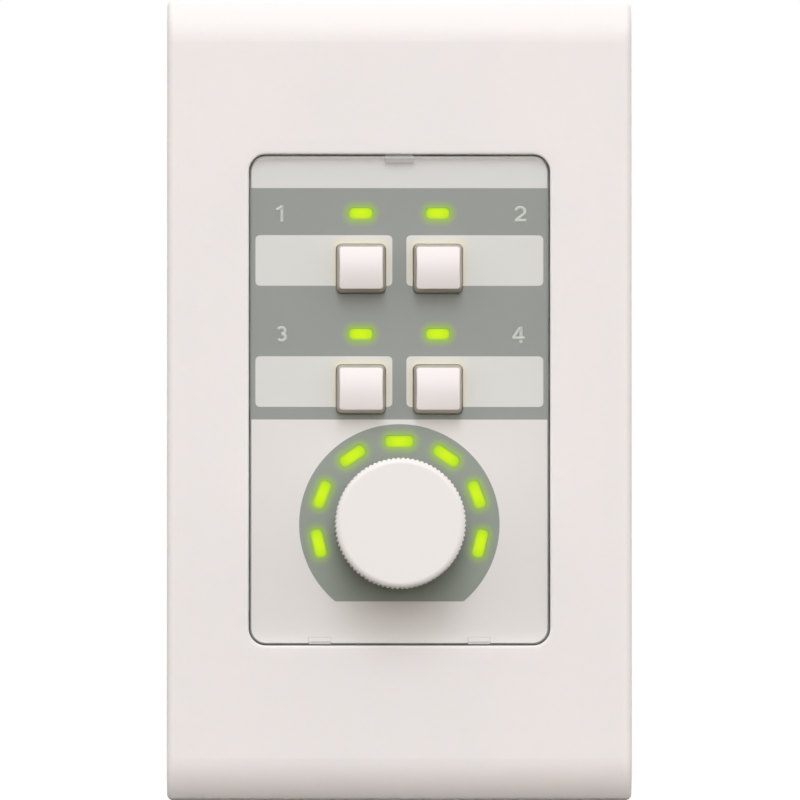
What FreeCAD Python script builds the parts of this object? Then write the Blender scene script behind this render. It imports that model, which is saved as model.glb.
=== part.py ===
import FreeCAD, Part
import math
import os
import re
import Sketcher

# A wall-mounted audio control panel: a moulded wall plate round an insert with four keys,
# a level knob and green lamps, on a steel yoke that screws to a flush wall box, with the
# boards and the network jacks in a case behind the wall surface.
#
# Frame: the origin is the middle of the wall plane, +Z is up, +X is to the right as seen
# from the front, and the front faces -Y. A level is a height above the wall, towards the
# user, so a level of 8 lies at y = -8 and what is behind the wall has a negative level.

# Driving sizes in millimetres.
SIZES = {
    # wall plate
    "plate_width": 70,
    "plate_height": 120.6,
    "plate_depth": 8,
    "plate_arch": 6.3,
    "plate_arch_radius": 9.5,
    "plate_skin": 2.2,
    "plate_wall": 2,
    "plate_edge_round": 1,
    "opening_width": 45.4,
    "opening_height": 74,
    "opening_corner": 2.6,
    "opening_edge_round": 0.3,
    "collar_wall": 1.4,
    "collar_level": 2.4,
    "rib_thickness": 1.2,
    "rib_side_pitch": 15,
    "rib_end_pitch": 26,
    # snap joint between plate and yoke
    "snap_height": 28,
    "snap_width": 5,
    "snap_arm": 1.4,
    "snap_bite": 0.8,
    "snap_gap": 0.2,
    "snap_catch": 3.7,
    "snap_barb": 1.6,
    "snap_nose": 0.4,
    "snap_end": 0.5,
    "tab_side": 1.5,
    "tab_margin": 1.5,
    "tab_level": 5.4,
    # yoke and wall box
    "yoke_thickness": 1.2,
    "yoke_width": 50,
    "yoke_height": 78,
    "yoke_corner": 2,
    "ear_width": 30,
    "ear_span": 106,
    "ear_corner": 4,
    "box_screw_pitch": 83.34,
    "box_hole_radius": 2.1,
    "window_width": 38.4,
    "window_height": 53,
    "window_lamp_width": 17.8,
    "window_lamp_top": 30,
    "bend_radius": 0.4,
    # clear cover
    "cover_gap": 0.2,
    "cover_recess": 0.5,
    "cover_thickness": 1.2,
    "cover_bevel": 0.4,
    "cover_knob_radius": 7,
    "pry_width": 4.05,
    "pry_proud": 0.2,
    "hook_width": 3,
    "hook_offset": 12,
    "hook_thickness": 0.8,
    "hook_bite": 0.5,
    "hook_tip": 0.6,
    "hook_gap": 0.1,
    # label sheet
    "sheet_margin": 0.2,
    "sheet_thickness": 0.15,
    "sheet_gap": 0.05,
    # front panel
    "panel_thickness": 2,
    "skirt_inset": 1.5,
    "skirt_wall": 1.6,
    "boss_radius": 2.5,
    "boss_floor": 0.8,
    "screw_boss_radius": 2.7,
    "baffle_wall": 0.8,
    "baffle_gap": 0.3,
    "baffle_level": 1.8,
    # keys
    "key_pitch": 11.6,
    "key_row_upper": 19.8,
    "key_row_lower": 1.6,
    "key_size": 7.3,
    "key_corner": 0.75,
    "key_face_width": 6.5,
    "key_face_height": 6.2,
    "key_face_corner": 0.4,
    "key_face_round": 0.2,
    "key_crown": 0.7,
    "key_rise": 3.2,
    "key_gap": 0.12,
    "key_lip": 0.8,
    "key_lip_thickness": 1,
    "key_lip_gap": 0.2,
    "key_wall": 1.2,
    "key_face_thickness": 1.4,
    "key_stem_radius": 1.6,
    # lamps and light guides
    "key_lamp_rise": 8.35,
    "key_lamp_width": 3.65,
    "key_lamp_height": 1.75,
    "lamp_corner": 0.7,
    "lamp_gap": 0.05,
    "guide_bar": 1.5,
    "guide_bar_height": 3,
    "guide_bar_overhang": 1.2,
    "guide_led_gap": 0.2,
    "level_lamp_length": 4.4,
    "level_lamp_height": 1.9,
    "level_lamp_radius": 12.5,
    "level_lamp_sweep": 206.4,
    "level_lamp_count": 7,
    "level_guide_width": 2.4,
    "level_guide_tail": 11,
    "led_length": 2,
    "led_width": 1.25,
    "led_height": 0.8,
    # knob
    "knob_height": -18.75,
    "knob_radius": 9.8,
    "knob_rise": 13,
    "knob_gap": 0.6,
    "knob_bevel": 0.9,
    "knob_wall": 1.7,
    "knob_face": 1.8,
    "knob_hub_radius": 4.9,
    "knob_rib": 1,
    "knob_rib_count": 6,
    "flute_count": 84,
    "flute_depth": 0.25,
    "flute_share": 0.8,
    "clip_width": 3.6,
    "clip_length": 7,
    "clip_thickness": 0.4,
    "clip_gap": 0.02,
    # encoder
    "encoder_width": 11.6,
    "encoder_length": 13,
    "encoder_depth": 6.5,
    "encoder_plate": 1,
    "encoder_frame": 0.5,
    "encoder_frame_height": 8,
    "encoder_floor": 1.1,
    "rotor_radius": 4.6,
    "rotor_thickness": 1.2,
    "rotor_gap": 0.4,
    "shaft_radius": 3,
    "shaft_gap": 0.05,
    "shaft_flat": 1.5,
    "shaft_flat_length": 8,
    "shaft_end_gap": 0.3,
    "shaft_chamfer": 0.4,
    "bushing_radius": 3.5,
    "bushing_length": 5,
    "bushing_gap": 0.1,
    "washer_radius": 5.5,
    "washer_thickness": 0.4,
    "nut_width": 10,
    "nut_thickness": 2,
    "encoder_pin": 1,
    "encoder_pin_thickness": 0.6,
    "encoder_pin_pitch": 2.5,
    # boards
    "board_thickness": 1.6,
    "board_gap": 0.3,
    "board_corner": 1,
    "pin_end": 0.9,
    "pin_gap": 0.1,
    "post_x": 16.4,
    "post_high": 22.5,
    "post_low": -23.4,
    "spacer_length": 6.5,
    "spacer_width": 5,
    "post_screw_radius": 1.2,
    "post_stud": 5,
    "screw_gap": 0.1,
    "board_screw_head": 2.2,
    "board_screw_head_height": 1.6,
    "board_screw_bite": 3,
    # tact switches under the keys
    "switch_size": 6,
    "switch_body": 3.5,
    "switch_height": 5,
    "switch_cover": 0.25,
    "plunger_radius": 1.75,
    "plunger_gap": 0.05,
    "plunger_lip": 0.5,
    "plunger_lip_thickness": 0.6,
    "switch_travel_room": 0.8,
    "lead_width": 0.7,
    "lead_thickness": 0.4,
    "lead_pitch": 4.5,
    "lead_rise": 1,
    # board-to-board connector
    "header_height": 14.5,
    "header_length": 17,
    "header_width": 4.6,
    "header_base": 2,
    "socket_gap": 0.2,
    "header_pin": 0.5,
    "header_pitch": 2,
    "header_columns": 8,
    "header_pin_room": 0.8,
    # parts on the rear board
    "chip_size": 10,
    "chip_height": 1.4,
    "chip_margin": 2.1,
    "driver_width": 5,
    "driver_height": 4,
    "driver_thickness": 1.5,
    "driver_pitch": 18.4,
    "driver_row": -1.5,
    "capacitor_radius": 3.15,
    "capacitor_length": 7.7,
    "capacitor_row": 9.6,
    "capacitor_first": 5.5,
    "capacitor_pitch": 7.4,
    # network jacks
    "jack_pitch": 18.4,
    "jack_height": -13,
    "jack_width": 15.4,
    "jack_tall": 13.4,
    "jack_length": 15.4,
    "jack_recess": 0.5,
    "jack_plug_width": 11.9,
    "jack_plug_low": -3.6,
    "jack_plug_high": 3.1,
    "jack_plug_depth": 12.6,
    "jack_latch_width": 6.2,
    "jack_latch_height": 1.7,
    "jack_key_width": 3.4,
    "jack_key_height": 0.9,
    "contact_pitch": 1.02,
    "contact_width": 0.45,
    "contact_thickness": 0.4,
    "contact_count": 8,
    "contact_rise": 2,
    "contact_setback": 2.2,
    # address switch
    "dip_x": -9.5,
    "dip_height": 9.6,
    "dip_width": 11.7,
    "dip_tall": 6.8,
    "dip_thickness": 3.6,
    "dip_pitch": 2.54,
    "dip_slot_width": 1.5,
    "dip_slot_length": 3.5,
    "dip_lid": 0.9,
    "dip_floor": 0.8,
    "dip_knob_length": 1.3,
    "dip_knob_rise": 0.9,
    "dip_foot_lip": 0.25,
    "dip_foot": 1.2,
    "dip_gap": 0.1,
    # rear case
    "case_width": 46,
    "case_height": 68,
    "case_corner": 3,
    "case_wall": 2,
    "case_edge_round": 1.2,
    "case_screw_x": 12,
    "case_screw_edge": 4,
    "column_radius": 3,
    "case_screw_radius": 1.45,
    "case_screw_head": 2.7,
    "case_screw_head_height": 1.9,
    "case_screw_sink": 2.4,
    "case_screw_tip_gap": 0.3,
    "case_opening_gap": 0.3,
    "dip_window_margin": 0.6,
    "chute_wall": 1,
    "chute_length": 8,
}

# Levels of the stack, from the clear cover back to the rear of the case.
COVER_FRONT = "(plate_depth - cover_recess)"
COVER_BACK = f"({COVER_FRONT} - cover_thickness)"
SHEET_FRONT = f"({COVER_BACK} - sheet_gap)"
PANEL_FRONT = f"({SHEET_FRONT} - sheet_thickness)"
PANEL_BACK = f"({PANEL_FRONT} - panel_thickness)"
BOARD_FRONT = f"({PANEL_BACK} - encoder_depth)"
BOARD_BACK = f"({BOARD_FRONT} - board_thickness)"
REAR_BOARD_FRONT = f"({BOARD_BACK} - spacer_length)"
REAR_BOARD_BACK = f"({REAR_BOARD_FRONT} - board_thickness)"
JACK_FACE = f"({REAR_BOARD_BACK} - jack_length)"
CASE_BACK = f"({JACK_FACE} - jack_recess)"
SKIN_BACK = "(plate_depth - plate_skin)"

# Levels of the moving pieces at rest.
KEY_FRONT = f"({COVER_FRONT} + key_rise)"
LIP_FRONT = f"({PANEL_BACK} - key_lip_gap)"
LIP_BACK = f"({LIP_FRONT} - key_lip_thickness)"
PLUNGER_TOP = f"({BOARD_FRONT} + switch_height)"
SWITCH_TOP = f"({BOARD_FRONT} + switch_body)"
KNOB_FRONT = f"({COVER_FRONT} + knob_rise)"
KNOB_BACK = f"({COVER_FRONT} + knob_gap)"
BUSHING_FRONT = f"({PANEL_BACK} + bushing_length)"
SHAFT_FRONT = f"({KNOB_FRONT} - knob_face - shaft_end_gap)"
LED_TOP = f"({BOARD_FRONT} + led_height)"

# Where the yoke's tabs and the level lamps lie.
TAB_OUTER = "(yoke_width / 2 + tab_margin)"
LEVEL_START = "(0 - level_lamp_sweep / 2)"
GUIDE_BACK = f"({PANEL_BACK} - guide_bar)"
FRAME_FRONT = f"({PANEL_BACK} - encoder_plate)"
FRAME_BACK = f"({FRAME_FRONT} - encoder_frame)"
ROTOR_BACK = f"({BOARD_FRONT} + encoder_floor + rotor_gap)"
LIP_SEAT = f"({SWITCH_TOP} - switch_cover - plunger_gap)"
SCREW_SEAT = f"({CASE_BACK} + case_screw_sink)"
DIP_FACE = f"({REAR_BOARD_BACK} - dip_thickness)"
DIP_REST = "(dip_gap + dip_knob_length / 2 - dip_slot_length / 2)"

# Outlines that several pieces share.
COVER_WIDTH = "(opening_width - 2 * cover_gap)"
COVER_HEIGHT = "(opening_height - 2 * cover_gap)"
COVER_CORNER = "(opening_corner - cover_gap)"
KEY_OPENING = "(key_size + 2 * key_gap)"
CROWN_RADIUS = "((key_size * key_size / 4 + key_crown * key_crown) / (2 * key_crown))"
KEY_OPENING_CORNER = "(key_corner + key_gap)"
BOARD_WIDTH = "(case_width - 2 * case_wall - 2 * board_gap)"
BOARD_HEIGHT = "(case_height - 2 * case_wall - 2 * board_gap)"
CHIP_ROW = f"({BOARD_HEIGHT} / 2 - chip_margin - chip_size / 2)"
CASE_SCREW_Z = "(case_height / 2 - case_screw_edge)"
COLUMN_NOTCH = "(column_radius + case_opening_gap)"

KEY_PLACES = {
    1: ("0 - key_pitch / 2", "key_row_upper"),
    2: ("key_pitch / 2", "key_row_upper"),
    3: ("0 - key_pitch / 2", "key_row_lower"),
    4: ("key_pitch / 2", "key_row_lower"),
}

doc = FreeCAD.newDocument("audio_control_panel")
sheet = doc.addObject("Spreadsheet::Sheet", "Sizes")
for row, (alias, number) in enumerate(SIZES.items(), start=1):
    sheet.set(f"A{row}", alias)
    sheet.set(f"B{row}", str(number))
    sheet.setAlias(f"B{row}", alias)
doc.recompute()
probe = doc.addObject("Part::Feature", "Probe")


def bound(text):
    """The expression with each size's name pointed at its cell in the sheet."""
    return re.sub(r"[a-z]\w*", lambda m: f"Sizes.{m[0]}" if m[0] in SIZES else m[0], text)


def num(text):
    """What an expression comes to now."""
    return float(probe.evalExpression(bound(text)))


def new_body(label, x=None, z=None):
    """A body for one piece; x and z put its own origin elsewhere on the panel."""
    body = doc.addObject("PartDesign::Body", label)
    body.Label = label
    if x is not None:
        body.setExpression("Placement.Base.x", bound(x))
    if z is not None:
        body.setExpression("Placement.Base.z", bound(z))
    return body


def new_sketch(body, name, role="XZ_Plane", level="0", x="0", z="0", turn="0"):
    """A sketch on an origin plane, moved along its normal by level."""
    sketch = body.newObject("Sketcher::SketchObject", f"{body.Name}_{name}")
    plane = next(f for f in body.Origin.OriginFeatures if f.Role == role)
    sketch.AttachmentSupport = [(plane, "")]
    sketch.MapMode = "FlatFace"
    sketch.setExpression("AttachmentOffset.Base.x", bound(x))
    sketch.setExpression("AttachmentOffset.Base.y", bound(z))
    sketch.setExpression("AttachmentOffset.Base.z", bound(level))
    sketch.setExpression("AttachmentOffset.Rotation.Angle", bound(turn))
    return sketch


def hold(sketch, kind, geometry, text, name):
    """A named dimension whose value follows the sheet."""
    sketch.addConstraint(Sketcher.Constraint(kind, *geometry, num(text)))
    last = sketch.ConstraintCount - 1
    sketch.renameConstraint(last, name)
    sketch.setExpression(f"Constraints.{name}", bound(text))


def circle(sketch, name, radius, x="0", z="0"):
    centre = FreeCAD.Vector(num(x), num(z), 0)
    edge = sketch.addGeometry(Part.Circle(centre, FreeCAD.Vector(0, 0, 1), num(radius)))
    hold(sketch, "Radius", (edge,), radius, f"{name}_radius")
    hold(sketch, "DistanceX", (-1, 1, edge, 3), x, f"{name}_x")
    hold(sketch, "DistanceY", (-1, 1, edge, 3), z, f"{name}_z")


def outline(sketch, name, points):
    """A closed outline. Each point is (x, z), or (x, z, radius) where an arc leads to the
    next point: a positive radius turns left and a negative one turns right."""
    spots = [(num(p[0]), num(p[1])) for p in points]
    edges = []
    for i, point in enumerate(points):
        (ax, az), (bx, bz) = spots[i], spots[(i + 1) % len(points)]
        if len(point) == 2:
            edge = Part.LineSegment(FreeCAD.Vector(ax, az, 0), FreeCAD.Vector(bx, bz, 0))
            edges.append((sketch.addGeometry(edge), 1, 2))
            continue
        radius, left = abs(num(point[2])), num(point[2]) > 0
        chord = math.hypot(bx - ax, bz - az)
        reach = math.sqrt(max(radius * radius - chord * chord / 4, 0)) * (1 if left else -1)
        cx = (ax + bx) / 2 - (bz - az) / chord * reach
        cz = (az + bz) / 2 + (bx - ax) / chord * reach
        first, last = math.atan2(az - cz, ax - cx), math.atan2(bz - cz, bx - cx)
        if not left:
            first, last = last, first
        whole = Part.Circle(FreeCAD.Vector(cx, cz, 0), FreeCAD.Vector(0, 0, 1), radius)
        arc = sketch.addGeometry(Part.ArcOfCircle(whole, first, last))
        edges.append((arc, 1, 2) if left else (arc, 2, 1))
        hold(sketch, "Radius", (arc,), point[2].lstrip("-"), f"{name}_radius_{i}")
    for i, (edge, start, _) in enumerate(edges):
        before, _, end = edges[i - 1]
        sketch.addConstraint(Sketcher.Constraint("Coincident", before, end, edge, start))
        hold(sketch, "DistanceX", (-1, 1, edge, start), points[i][0], f"{name}_x_{i}")
        hold(sketch, "DistanceY", (-1, 1, edge, start), points[i][1], f"{name}_z_{i}")


def rectangle(sketch, name, width, height, x="0", z="0", corner=None):
    """A rectangle round (x, z), with rounded corners where corner is given."""
    left, right = num(x) - num(width) / 2, num(x) + num(width) / 2
    low, high = num(z) - num(height) / 2, num(z) + num(height) / 2
    r = num(corner) if corner else 0
    ends = [
        ((left + r, low), (right - r, low)),
        ((right, low + r), (right, high - r)),
        ((right - r, high), (left + r, high)),
        ((left, high - r), (left, low + r)),
    ]
    sides = [
        sketch.addGeometry(Part.LineSegment(FreeCAD.Vector(*a, 0), FreeCAD.Vector(*b, 0)))
        for a, b in ends
    ]
    for side, kind in zip(sides, ("Horizontal", "Vertical", "Horizontal", "Vertical")):
        sketch.addConstraint(Sketcher.Constraint(kind, side))
    if corner:
        centres = [(right - r, low + r), (right - r, high - r), (left + r, high - r), (left + r, low + r)]
        arcs = []
        for quarter, (cx, cz) in enumerate(centres):
            whole = Part.Circle(FreeCAD.Vector(cx, cz, 0), FreeCAD.Vector(0, 0, 1), r)
            first = (quarter - 1) * math.pi / 2
            arcs.append(sketch.addGeometry(Part.ArcOfCircle(whole, first, first + math.pi / 2)))
        for i, arc in enumerate(arcs):
            sketch.addConstraint(Sketcher.Constraint("Tangent", sides[i], 2, arc, 1))
            sketch.addConstraint(Sketcher.Constraint("Tangent", arc, 2, sides[(i + 1) % 4], 1))
        for arc in arcs[1:]:
            sketch.addConstraint(Sketcher.Constraint("Equal", arcs[0], arc))
        hold(sketch, "Radius", (arcs[0],), corner, f"{name}_corner")
    else:
        for i in range(4):
            sketch.addConstraint(Sketcher.Constraint("Coincident", sides[i], 2, sides[(i + 1) % 4], 1))
    hold(sketch, "DistanceX", (sides[3], 1, sides[1], 1), width, f"{name}_width")
    hold(sketch, "DistanceY", (sides[0], 1, sides[2], 1), height, f"{name}_height")
    hold(sketch, "DistanceX", (-1, 1, sides[3], 1), f"{x} - ({width}) / 2", f"{name}_left")
    hold(sketch, "DistanceY", (-1, 1, sides[0], 1), f"{z} - ({height}) / 2", f"{name}_low")


def raised(body, sketch, low, high):
    """Material from the sketch, which lies at the low level, up to the high level."""
    pad = body.newObject("PartDesign::Pad", f"{sketch.Name}_pad")
    pad.Profile = sketch
    pad.setExpression("Length", bound(f"{high} - {low}"))
    body.Tip = pad
    return pad


def sunk(body, sketch, low, high):
    """A cut from the sketch, which lies at the high level, down to the low level."""
    pocket = body.newObject("PartDesign::Pocket", f"{sketch.Name}_cut")
    pocket.Profile = sketch
    pocket.setExpression("Length", bound(f"{high} - {low}"))
    body.Tip = pocket
    return pocket


def across(body, sketch, kind, length):
    """A pad or pocket to both sides of its sketch."""
    feature = body.newObject(f"PartDesign::{kind}", f"{sketch.Name}_{kind.lower()}")
    feature.Profile = sketch
    feature.SideType = "Symmetric"
    feature.setExpression("Length", bound(length))
    body.Tip = feature
    return feature


def turned(body, sketch):
    """A full turn of the sketch, drawn as (radius, -level), round the body's Y axis."""
    revolution = body.newObject("PartDesign::Revolution", f"{sketch.Name}_turn")
    revolution.Profile = sketch
    revolution.ReferenceAxis = (sketch, ["V_Axis"])
    revolution.Angle = 360
    body.Tip = revolution
    return revolution


def plate(label, draw, low, high, x=None, z=None):
    """A body that starts as one flat outline between two levels."""
    body = new_body(label, x, z)
    sketch = new_sketch(body, "outline", level=low)
    draw(sketch)
    raised(body, sketch, low, high)
    return body


def add(body, name, draw, low, high, **place):
    sketch = new_sketch(body, name, level=low, **place)
    draw(sketch)
    return raised(body, sketch, low, high)


def cut(body, name, draw, low, high, **place):
    sketch = new_sketch(body, name, level=high, **place)
    draw(sketch)
    return sunk(body, sketch, low, high)


def ring_of(body, features, count, sweep="360"):
    """Copies of the features round the normal of the first one's sketch."""
    pattern = body.newObject("PartDesign::PolarPattern", f"{features[0].Name}_ring")
    pattern.Originals = features
    pattern.Axis = (features[0].Profile[0], ["N_Axis"])
    pattern.setExpression("Angle", bound(sweep))
    pattern.setExpression("Occurrences", bound(count))
    body.Tip = pattern
    return pattern


def grid_of(body, features, step_x=None, step_z=None, count_x="2", count_z="2"):
    """Copies of the features in rows and columns, starting from the lowest left one."""
    pattern = body.newObject("PartDesign::LinearPattern", f"{features[0].Name}_grid")
    pattern.Originals = features
    sketch = features[0].Profile[0]
    steps = [(axis, step, count) for axis, step, count in
             (("H_Axis", step_x, count_x), ("V_Axis", step_z, count_z)) if step]
    for end, (axis, step, count) in zip(("", "2"), steps):
        setattr(pattern, f"Direction{end}", (sketch, [axis]))
        pattern.setExpression(f"Length{end}", bound(f"{step} * ({count} - 1)"))
        pattern.setExpression(f"Occurrences{end}", bound(count))
    body.Tip = pattern
    return pattern


def four_corners(body, features):
    """The features mirrored to the other three quarters of the panel."""
    multi = body.newObject("PartDesign::MultiTransform", f"{features[0].Name}_corners")
    mirrors = []
    for role in ("YZ_Plane", "XY_Plane"):
        mirror = body.newObject("PartDesign::Mirrored", f"{features[0].Name}_{role[:2]}")
        plane = next(f for f in body.Origin.OriginFeatures if f.Role == role)
        mirror.MirrorPlane = (plane, [""])
        mirrors.append(mirror)
    multi.Originals = features
    multi.Transformations = mirrors
    body.Tip = multi
    return multi


def edges_of(feature, keep):
    """The names of the feature's edges that keep() accepts."""
    doc.recompute()
    return [f"Edge{i}" for i, e in enumerate(feature.Shape.Edges, start=1) if keep(e)]


def dressed(body, kind, size, keep):
    """A fillet or chamfer of a sheet size on the edges of the body's tip that keep() accepts."""
    base = body.Tip
    names = edges_of(base, keep)
    feature = body.newObject(f"PartDesign::{kind}", f"{base.Name}_{kind.lower()}")
    feature.Base = (base, names)
    feature.setExpression("Radius" if kind == "Fillet" else "Size", bound(size))
    body.Tip = feature
    return feature


def at_level(text):
    """Accepts edges that lie wholly at one level."""
    y = -num(text)
    return lambda edge: abs(edge.BoundBox.YMin - y) < 1e-4 and abs(edge.BoundBox.YMax - y) < 1e-4


def hexagon(sketch, name, width):
    corner = f"{width} / 2 / cos(30)"
    points = [(f"{corner} * cos({60 * i})", f"{corner} * sin({60 * i})") for i in range(6)]
    outline(sketch, name, points)


def arched(front, arch, radius, half):
    """The plate's side view: flat in front, with an arc back over the last of each end."""
    end = f"({radius} - sqrt({radius} * {radius} - {arch} * {arch}) - {front})"
    return [
        ("0", f"0 - {half}"),
        (end, f"0 - {half}", f"-{radius}"),
        (f"0 - {front}", f"{arch} - {half}"),
        (f"0 - {front}", f"{half} - {arch}", f"-{radius}"),
        (end, half),
        ("0", half),
    ]


def opening_outline(sketch, name, margin):
    """The plate's opening, made larger all round by margin."""
    rectangle(
        sketch, name, f"(opening_width + 2 * {margin})", f"(opening_height + 2 * {margin})",
        corner=f"(opening_corner + {margin})",
    )


def cover_outline(sketch, name="edge", inset="0"):
    """The clear cover's outline, made smaller all round by inset."""
    rectangle(
        sketch, name, f"({COVER_WIDTH} - 2 * {inset})", f"({COVER_HEIGHT} - 2 * {inset})",
        corner=f"({COVER_CORNER} - {inset})",
    )


def key_openings(sketch):
    for number, (x, z) in KEY_PLACES.items():
        rectangle(sketch, f"key_{number}", KEY_OPENING, KEY_OPENING, x, z, KEY_OPENING_CORNER)


def knob_opening(sketch):
    circle(sketch, "knob", "cover_knob_radius", "0", "knob_height")


def make_wall_plate():
    """Moulded plate with arched ends: a shell with a collar round its opening and ribs behind
    its skin, and four snap arms that catch the yoke's tabs."""
    body = new_body("wall_plate")
    half_height, inner_half = "(plate_height / 2)", "(plate_height / 2 - plate_skin)"
    profile = new_sketch(body, "profile", "YZ_Plane")
    outline(profile, "outer", arched("plate_depth", "plate_arch", "plate_arch_radius", half_height))
    across(body, profile, "Pad", "plate_width")
    side, end = num("plate_width / 2"), num(half_height)

    def on_rim(e):
        box = e.BoundBox
        at_side = abs(abs(box.XMin) - side) < 1e-4 and box.XLength < 1e-4
        at_end = abs(abs(box.ZMin) - end) < 1e-4 and box.ZLength < 1e-4
        return (at_side or at_end) and box.YMin < -1e-4

    dressed(body, "Fillet", "plate_edge_round", on_rim)
    hollow = new_sketch(body, "hollow", "YZ_Plane")
    outline(hollow, "inner", arched(
        SKIN_BACK, "(plate_arch - plate_skin)", "(plate_arch_radius - plate_skin)", inner_half,
    ))
    across(body, hollow, "Pocket", "plate_width - 2 * plate_wall")
    cut(body, "opening", lambda s: opening_outline(s, "edge", "0"), "0", "plate_depth")
    front = at_level("plate_depth")
    wide, tall = num("opening_width / 2 + opening_corner"), num("opening_height / 2 + opening_corner")
    dressed(body, "Fillet", "opening_edge_round", lambda e: (
        front(e) and abs(e.CenterOfMass.x) < wide and abs(e.CenterOfMass.z) < tall
    ))

    def collar(s):
        opening_outline(s, "inside", "0")
        opening_outline(s, "outside", "collar_wall")

    add(body, "collar", collar, "collar_level", SKIN_BACK)
    collar_x, collar_z = "(opening_width / 2 + collar_wall)", "(opening_height / 2 + collar_wall)"
    wall_x = "(plate_width / 2 - plate_wall)"
    side_rib = add(body, "side_rib", lambda s: rectangle(
        s, "rib", f"({wall_x} - {collar_x})", "rib_thickness",
        f"(0 - ({wall_x} + {collar_x}) / 2)", "(0 - rib_side_pitch)",
    ), "collar_level", SKIN_BACK)
    grid_of(body, [side_rib], f"({wall_x} + {collar_x})", "rib_side_pitch", count_z="3")
    end_rib = add(body, "end_rib", lambda s: rectangle(
        s, "rib", "rib_thickness", f"({inner_half} - {collar_z})",
        "(0 - rib_end_pitch / 2)", f"(0 - ({inner_half} + {collar_z}) / 2)",
    ), "collar_level", SKIN_BACK)
    grid_of(body, [end_rib], "rib_end_pitch", f"({inner_half} + {collar_z})")
    arm = new_sketch(body, "arm", "XY_Plane", "snap_height")
    inner = f"({TAB_OUTER} + snap_gap)"
    end = "(snap_catch - snap_barb - snap_end)"
    outline(arm, "arm", [
        (inner, f"0 - {SKIN_BACK}"),
        (inner, "0 - snap_catch"),
        (f"{inner} - snap_bite", "0 - snap_catch"),
        (f"{inner} - snap_bite", "snap_nose - snap_catch"),
        (inner, "snap_barb - snap_catch"),
        (inner, f"0 - {end}"),
        (f"{inner} + snap_arm", f"0 - {end}"),
        (f"{inner} + snap_arm", f"0 - {SKIN_BACK}"),
    ])
    four_corners(body, [across(body, arm, "Pad", "snap_width")])
    return body


def make_mounting_yoke():
    """Punched and bent steel strap: the ears lie on the wall box, the insert stands on its
    front, the case hangs behind its window, and four tabs hold the wall plate."""
    body = plate(
        "mounting_yoke",
        lambda s: rectangle(s, "field", "yoke_width", "yoke_height", corner="yoke_corner"),
        "0", "yoke_thickness",
    )
    add(
        body, "ears",
        lambda s: rectangle(s, "strap", "ear_width", "ear_span", corner="ear_corner"),
        "0", "yoke_thickness",
    )
    tab = new_sketch(body, "tab", "XY_Plane", "snap_height")
    bend, root = "(bend_radius + yoke_thickness)", f"({TAB_OUTER} - tab_margin - yoke_thickness)"
    inner = f"({TAB_OUTER} - yoke_thickness)"
    outline(tab, "bend", [
        (root, "0"),
        (f"{TAB_OUTER} - {bend}", "0", f"-{bend}"),
        (TAB_OUTER, f"0 - {bend}"),
        (TAB_OUTER, "0 - tab_level"),
        (inner, "0 - tab_level"),
        (inner, f"0 - {bend}", "bend_radius"),
        (f"{inner} - bend_radius", "0 - yoke_thickness"),
        (root, "0 - yoke_thickness"),
    ])
    four_corners(body, [across(body, tab, "Pad", "snap_width + 2 * tab_side")])
    catch = new_sketch(body, "catch", "YZ_Plane")
    for name, side in (("low", "0 - snap_height"), ("high", "snap_height")):
        rectangle(
            catch, name, "snap_barb + 2 * snap_gap", "snap_width + 2 * snap_gap",
            "(snap_barb / 2 - snap_catch)", f"({side})",
        )
    across(body, catch, "Pocket", "plate_width")

    def window(s):
        rectangle(s, "window", "window_width", "window_height", corner="yoke_corner")

    cut(body, "window", window, "0", "yoke_thickness")
    cut(body, "lamp_window", lambda s: rectangle(
        s, "slot", "window_lamp_width", "window_lamp_top", "0", "(window_lamp_top / 2)", "yoke_corner",
    ), "0", "yoke_thickness")
    cut(body, "box_holes", lambda s: [
        circle(s, "low", "box_hole_radius", "0", "0 - box_screw_pitch / 2"),
        circle(s, "high", "box_hole_radius", "0", "box_screw_pitch / 2"),
    ], "0", "yoke_thickness")
    hole = cut(
        body, "case_holes", lambda s: case_circle(s, "case_screw_radius + screw_gap"),
        "0", "yoke_thickness",
    )
    at_case_screws(body, [hole])
    return body


def case_circle(sketch, radius):
    """A circle at the lowest left of the four case screws."""
    circle(sketch, "case_screw", radius, "0 - case_screw_x", f"0 - {CASE_SCREW_Z}")


def post_circle(sketch, radius):
    """A circle at the lowest left of the four posts that carry the boards."""
    circle(sketch, "post", radius, "0 - post_x", "post_low")


def at_posts(body, features):
    return grid_of(body, features, "2 * post_x", "(post_high - post_low)")


def at_case_screws(body, features):
    return grid_of(body, features, "2 * case_screw_x", f"2 * {CASE_SCREW_Z}")


def at_keys(body, features):
    return grid_of(body, features, "key_pitch", "(key_row_upper - key_row_lower)")


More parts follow.
